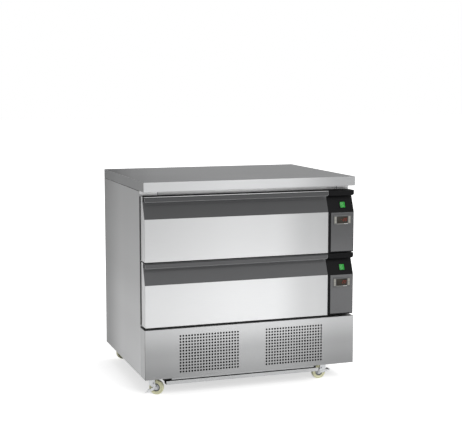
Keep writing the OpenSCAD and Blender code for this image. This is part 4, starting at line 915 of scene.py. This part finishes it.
def caster_wheel(corner):
    """A moulded wheel with a rounded tread, its pressed hub plates and rims, and the axle's
    ends and the dimples on the fork's legs."""
    cx, cy, _ = middle(corner + "_wheel")
    heading = math.radians(TURNS[corner])
    turn = Matrix.Translation((cx, cy, TYRE_R * MM)) @ along((-math.sin(heading), math.cos(heading), 0))
    # Pairs of radius and distance from the wheel's middle
    half = [(BORE_R, 7.3), (HUB_R - 1.2, 7.3), (HUB_R - 0.8, 8.2),
            (HUB_R + 0.3, 8.2), (HUB_R + 0.9, 7.3), (HUB_R + 1.6, 6.9),
            (TYRE_R - 5.8, 6.9), (TYRE_R - 5.0, 7.3), (TYRE_R - 4.0, 8.4),
            (TYRE_R - 2.8, 8.8), (TYRE_R - 1.6, 8.3), (TYRE_R - 0.7, 7.2),
            (TYRE_R - 0.17, 5.4), (TYRE_R, 2.6)]
    section = half + [(r, -z) for r, z in reversed(half)]
    make_piece(corner + "_tyre", placed(lathe(in_mm(section), TYRE_STEPS, False), turn), "wheel_nylon",
        corner + "_roller", (corner + "_wheel",), smooth=50)
    cone = [(BORE_R + 0.1, 7.65), (5.2, 7.65), (6.0, 8.4), (CONE_R - 1.4, 8.4),
        (CONE_R - 0.4, 8.0), (CONE_R, 7.7)]
    rim = [(CONE_R - 0.2, 7.75), (HUB_R - 0.9, 7.75), (HUB_R - 0.3, 8.7), (HUB_R + 0.1, 8.62)]
    for name, pressed, mat in (("_hub_plates", cone, "hub_steel"), ("_hub_rims", rim, "rim_steel")):
        plates = []
        for side in (1, -1):
            skin = [(r, side * z) for r, z in pressed]
            back = [(r, z - side * PRESSED_T) for r, z in reversed(skin)]
            plates.append(placed(lathe(in_mm(skin + back), HUB_STEPS, False), turn))
        make_piece(corner + name, joined(plates), mat, corner + "_roller", smooth=30)
    ends, dimples = [], []
    spot = Matrix.Translation((-math.cos(heading) * DIMPLE_BACK * MM,
        -math.sin(heading) * DIMPLE_BACK * MM, DIMPLE_UP * MM))
    # Pairs of radius and distance out from the face
    end = ((AXLE_R, -1), (AXLE_R, 0.9), (AXLE_R * 0.8, 1.5), (TIP_R, 1.6))
    cup = ((DIMPLE_R, -0.3), (DIMPLE_R, 0.35), (DIMPLE_R * 0.9, 0.6), (DIMPLE_R * 0.72, 0.5),
        (DIMPLE_R * 0.55, 0.08), (TIP_R, 0.05))
    for side in (1, -1):
        tip = [(r, side * (NUT_FACE + z)) for r, z in end]
        ends.append(placed(lathe(in_mm(tip), 20), turn))
        dimple = [(r, side * (LEG_FACE + z)) for r, z in cup]
        dimples.append(placed(lathe(in_mm(dimple), 24), spot @ turn))
    for name, shapes in (("_axle_ends", ends), ("_leg_dimples", dimples)):
        make_piece(corner + name, joined(shapes), "hub_steel", corner + "_caster")


# Back of the cabinet

SCREW_ROWS = 4
SCREW_R = 4.0 * MM
SCREW_RISE = 1.9 * MM
HEAD_OUT = 2.0 * MM
SHANK_R = 1.9 * MM
SCREW_TURN = 25
GLAND_STEPS = 96
# How deep the grooves between the ribs are in millimetres, the first and last of the dome's
# points that have them, and how many steps each is wide
RIB = 0.35
RIB_FIRST, RIB_LAST, RIB_WIDE = 2, 5, 3


def dome_screws():
    """Domed heads with a cross recess, and their shanks."""
    low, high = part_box("panel_screws")
    z0, z1 = low[2] + SCREW_R, high[2] - SCREW_R
    face = high[1] - HEAD_OUT
    dome = [(SHANK_R, low[1] - face + 0.1 * MM), (SHANK_R, 0), (SCREW_R, 0),
            (SCREW_R * 0.98, 0.35 * MM), (SCREW_R * 0.86, 1.05 * MM), (SCREW_R * 0.66, 1.6 * MM),
            (SCREW_R * 0.42, SCREW_RISE), (SCREW_R * 0.40, SCREW_RISE), (SCREW_R * 0.3, 0.9 * MM),
            (SCREW_R * 0.02, 0.8 * MM)]
    bar = soft_block((-1.5 * MM, -0.28 * MM, 0.7 * MM), (1.5 * MM, 0.28 * MM, 1.2 * MM), FINE_EDGE, 2)
    shapes = []
    for x in (low[0] + SCREW_R, high[0] - SCREW_R):
        for i in range(SCREW_ROWS):
            z = z0 + (z1 - z0) * i / (SCREW_ROWS - 1)
            seat = Matrix.Translation((x, face, z)) @ along((0, 1, 0))
            shapes.append(placed(lathe(dome, 20), seat))
            for angle in (SCREW_TURN, SCREW_TURN + 90):
                shapes.append(placed(bar, seat @ Matrix.Rotation(math.radians(angle), 4, "Z")))
    make_piece("dome_screws", joined(shapes), "zinc_steel", "cabinet", ("panel_screws",),
        smooth=40)


def gland():
    """A cable gland: hexagon, clamping dome with ribs and an open rubber seal."""
    low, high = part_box("cable_gland")
    cx, _, cz = middle("cable_gland")
    wall_in, wall_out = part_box("back_panel")[0][1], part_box("back_panel")[1][1]
    out = high[1] - wall_out
    # Pairs of radius in millimetres and distance out from the wall in metres
    dome = [(7.9, low[1] - wall_out), (7.9, 0), (10.9, 0), (10.9, 0.35 * out), (10.7, 0.4 * out),
            (10.4, 0.75 * out), (8.6, 0.95 * out), (7.6, out), (5.2, out), (5.0, 0.8 * out),
            (4.1, 0.7 * out), (4.0, low[1] - wall_out)]
    rings = []
    for index, (r, y) in enumerate(dome):
        outer, inner = circle(r * MM, GLAND_STEPS), circle((r - RIB) * MM, GLAND_STEPS)
        ribbed = RIB_FIRST <= index <= RIB_LAST
        ring = [inner[i] if ribbed and (i // RIB_WIDE) % 2 == 0 else outer[i] for i in range(GLAND_STEPS)]
        rings.append([(cx + px, wall_out + y, cz + pz) for px, pz in ring])
    rings.append(rings[0])
    nut = [[(cx + px, wall_in - y * MM, cz + pz) for px, pz in circle(r * MM, 6)]
        for r, y in ((8.1, 0), (13.0, 0), (13.0, 3.6), (12.2, 4.0), (8.1, 4.0), (8.1, 0))]
    make_piece("strain_gland", joined([loft(rings, False), loft(nut, False)]), "gland_nylon", "cabinet",
        ("cable_gland",))


# Joints, seals, rivets and mats

# The middle and half the width of the strip's upright joints, across the unit; dark strips over them are
# painted shade in the joints
UPRIGHT_JOINTS = ((-0.3745, 0.9 * MM), (0.3965, 1.6 * MM))
# The ends and the height of the strip's level joint over the controls
LEVEL_JOINT = (0.352, 0.4475, 0.8082)
JOINT_HALF = 0.9 * MM
JOINT_PROUD = 0.25 * MM
JOINT_SUNK = 0.2 * MM
JOINT_SHORT = 0.5 * MM
# Sizes of the dark blocks painted in as the shade in the gap beside the drawers
GAP_SHADE_OUT = 2.4 * MM
GAP_SHADE_IN = 0.8 * MM
GAP_SHADE_BEHIND = 0.8 * MM
GAP_SHADE_SHORT = 2 * MM
GAP_SHADE_SUNK = 0.05 * MM
GAP_SHADE_EDGE = 1.2 * MM
# Pairs of radius and height, in millimetres
RIVET_HEAD = ((0.02, 0.35), (1.0, 0.33), (1.6, 0.22), (1.9, 0), (1.9, -0.3))
RIVET_IN = 0.36 * MM
RIVET_FRONT = 180 * MM
RIVET_BACK = 60 * MM
# The mats' inner edges across the unit, their faces before the condensers, and their heights
MAT_INNER = 58 * MM
MAT_FRONT = 12 * MM
MAT_BACK = 4 * MM
MAT_FOOT = 79 * MM
MAT_TOP = 258 * MM
MAT_EDGE = 1.5 * MM


def skirt_rivets():
    """Small rivet heads that hold the worktop's skirt to its core."""
    low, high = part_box("worktop")
    _, cy, cz = middle("worktop")
    head = lathe(in_mm(RIVET_HEAD), 16)
    rivets = [placed(head, Matrix.Translation((x, y, cz)) @ along((out, 0, 0)))
        for y in (low[1] + RIVET_FRONT, cy + RIVET_BACK, high[1] - RIVET_BACK)
        for x, out in ((low[0] + RIVET_IN, -1), (high[0] - RIVET_IN, 1))]
    make_piece("skirt_rivets", joined(rivets), "zinc_steel", "cabinet")


def frame_seam_shades():
    """Dark strips over the joints of the strip that shows under the worktop, painted shade in the joints.
    """
    low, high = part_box("front_frame")
    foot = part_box("upper_drawer_front")[1][2]
    seams = [(x - half, x + half, foot + JOINT_SHORT, high[2] - JOINT_SHORT) for x, half in UPRIGHT_JOINTS]
    x0, x1, z = LEVEL_JOINT
    seams.append((x0, x1, z - JOINT_HALF, z + JOINT_HALF))
    blocks = [soft_block((x0, low[1] - JOINT_PROUD, z0), (x1, low[1] + JOINT_SUNK, z1), FINE_EDGE, 2)
        for x0, x1, z0, z1 in seams]
    make_piece("frame_seam_shades", joined(blocks), "gasket_rubber", "cabinet")


def edge_gap_shades():
    """Dark blocks in the gap between the left side panel and the drawers: painted shade of the gap."""
    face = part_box("front_frame")[0][1]
    blocks = []
    for level in LEVELS:
        low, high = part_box(level + "_drawer_front")
        blocks.append(soft_block((low[0] - GAP_SHADE_OUT, high[1] + GAP_SHADE_BEHIND, low[2] + GAP_SHADE_SHORT),
            (low[0] + GAP_SHADE_IN, face - GAP_SHADE_SUNK, high[2] - GAP_SHADE_SHORT), GAP_SHADE_EDGE))
    make_piece("edge_gap_shades", joined(blocks), "gasket_rubber", "cabinet")


def filter_mats():
    """Dark foam mats between the grilles and the condensers."""
    low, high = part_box("condensers")
    mats = [soft_block((x0, low[1] - MAT_FRONT, MAT_FOOT), (x1, low[1] - MAT_BACK, MAT_TOP), MAT_EDGE)
        for x0, x1 in ((low[0], -MAT_INNER), (MAT_INNER, high[0]))]
    make_piece("filter_mats", joined(mats), "filter_foam", "cabinet")


for side_level in LEVELS:
    drawer_cap(side_level)
    lip_bead(side_level)
    drawer_hems(side_level)
    bellows_gasket(side_level)
    food_pan(side_level)
    fan_guard(side_level)
    controller(side_level)
    rocker(side_level)
    fan_rotor(side_level, side_level + "_evaporator_fan", side_level + "_small_fan", "fan_plastic")
for side_name in ("left", "right"):
    fan_rotor(side_name, side_name + "_condenser_fan", side_name + "_big_fan", "fan_aluminium")
for corner_name in TURNS:
    caster_wheel(corner_name)
dome_screws()
gland()
skirt_rivets()
frame_seam_shades()
edge_gap_shades()
filter_mats()


# Studio

FLOOR_HALF = 30.0
FADE_START = 0.7
FADE_END = 1.8
FLOOR_LIFT = 0.64
WORLD_LEVEL = 0.38
IMAGE_WIDTH = 462
FOCAL_PX = 1105
SENSOR = 36.0
CAMERA_PLACE = (-1.5057, -4.4835, 1.2564)
CAMERA_TILT = 83.24
CAMERA_TURN = -18.88
CLIP_START, CLIP_END = 0.1, 100.0
# Each lamp's place, the point that it shines at, its width and height, and its power
LAMPS = {"key_box": ((1.0, -3.6, 2.6), (0.1, 0, 0.45), 2.4, 2.0, 66),
         "strip_box": ((1.45, -4.3, 1.3), (0, 0, 0.5), 0.7, 2.4, 22),
         "top_box": ((0.4, 0.6, 3.4), (0, 0, 0.4), 2.6, 2.6, 36)}


def background_rays(tree):
    """1 for the rays that see the background: camera, reflections and glass."""
    path = add_node(tree, "LightPath")
    seen = path.outputs["Is Camera Ray"]
    for kind in ("Is Glossy Ray", "Is Transmission Ray"):
        either = add_node(tree, "Math")
        either.operation = "MAXIMUM"
        tree.links.new(seen, either.inputs[0])
        tree.links.new(path.outputs[kind], either.inputs[1])
        seen = either.outputs["Value"]
    return seen


def floor_material():
    """Pale paint that keeps the shadow by the object and turns white away from it."""
    mat = surface("floor_paint", (0.9, 0.9, 0.9), 0.9, tone=0.005, fine=30.0, broad=1.0, specular=0.0)
    tree = mat.node_tree
    shader = tree.nodes["Principled BSDF"]
    place = add_node(tree, "TexCoord")
    distance = add_node(tree, "VectorMath")
    distance.operation = "LENGTH"
    glow = add_node(tree, "MapRange", From_Min=FADE_START, From_Max=FADE_END, To_Min=FLOOR_LIFT,
        To_Max=1.0)
    seen = add_node(tree, "Math")
    seen.operation = "MULTIPLY"
    tree.links.new(place.outputs["Object"], distance.inputs[0])
    tree.links.new(distance.outputs["Value"], glow.inputs["Value"])
    tree.links.new(glow.outputs["Result"], seen.inputs[0])
    tree.links.new(background_rays(tree), seen.inputs[1])
    shader.inputs["Emission Color"].default_value = (1, 1, 1, 1)
    tree.links.new(seen.outputs["Value"], shader.inputs["Emission Strength"])
    return mat


def make_floor():
    mesh = bpy.data.meshes.new("studio_floor")
    outline = [(sx * FLOOR_HALF, sy * FLOOR_HALF, 0.0) for sx, sy in ((-1, -1), (1, -1), (1, 1), (-1, 1))]
    mesh.from_pydata(outline, [], [(0, 1, 2, 3)])
    floor = bpy.data.objects.new("studio_floor", mesh)
    bpy.context.collection.objects.link(floor)
    mesh.materials.append(floor_material())


def make_world():
    """White where the camera, reflections and glass see it, and dimmer as a lamp."""
    world = bpy.data.worlds.new("studio_world")
    bpy.context.scene.world = world
    world.use_nodes = True
    tree = world.node_tree
    background = tree.nodes["Background"]
    background.inputs["Color"].default_value = (1, 1, 1, 1)
    level = add_node(tree, "MapRange", To_Min=WORLD_LEVEL, To_Max=1.0)
    tree.links.new(background_rays(tree), level.inputs["Value"])
    tree.links.new(level.outputs["Result"], background.inputs["Strength"])


def area_lamp(name, place, aim, width, height, power):
    lamp = bpy.data.lights.new(name, "AREA")
    lamp.shape = "RECTANGLE"
    lamp.size = width
    lamp.size_y = height
    lamp.energy = power
    obj = bpy.data.objects.new(name, lamp)
    bpy.context.collection.objects.link(obj)
    obj.location = place
    obj.rotation_euler = (Vector(aim) - Vector(place)).to_track_quat("-Z", "Y").to_euler()


def make_camera():
    camera = bpy.data.objects.new("camera", bpy.data.cameras.new("camera"))
    bpy.context.collection.objects.link(camera)
    camera.location = CAMERA_PLACE
    camera.rotation_euler = (math.radians(CAMERA_TILT), 0, math.radians(CAMERA_TURN))
    camera.data.sensor_width = SENSOR
    camera.data.sensor_fit = "HORIZONTAL"
    camera.data.lens = SENSOR * FOCAL_PX / IMAGE_WIDTH
    camera.data.clip_start = CLIP_START
    camera.data.clip_end = CLIP_END
    bpy.context.scene.camera = camera


make_camera()
make_floor()
make_world()
for lamp_name, settings in LAMPS.items():
    area_lamp(lamp_name, *settings)
bpy.context.scene.view_settings.view_transform = "Standard"
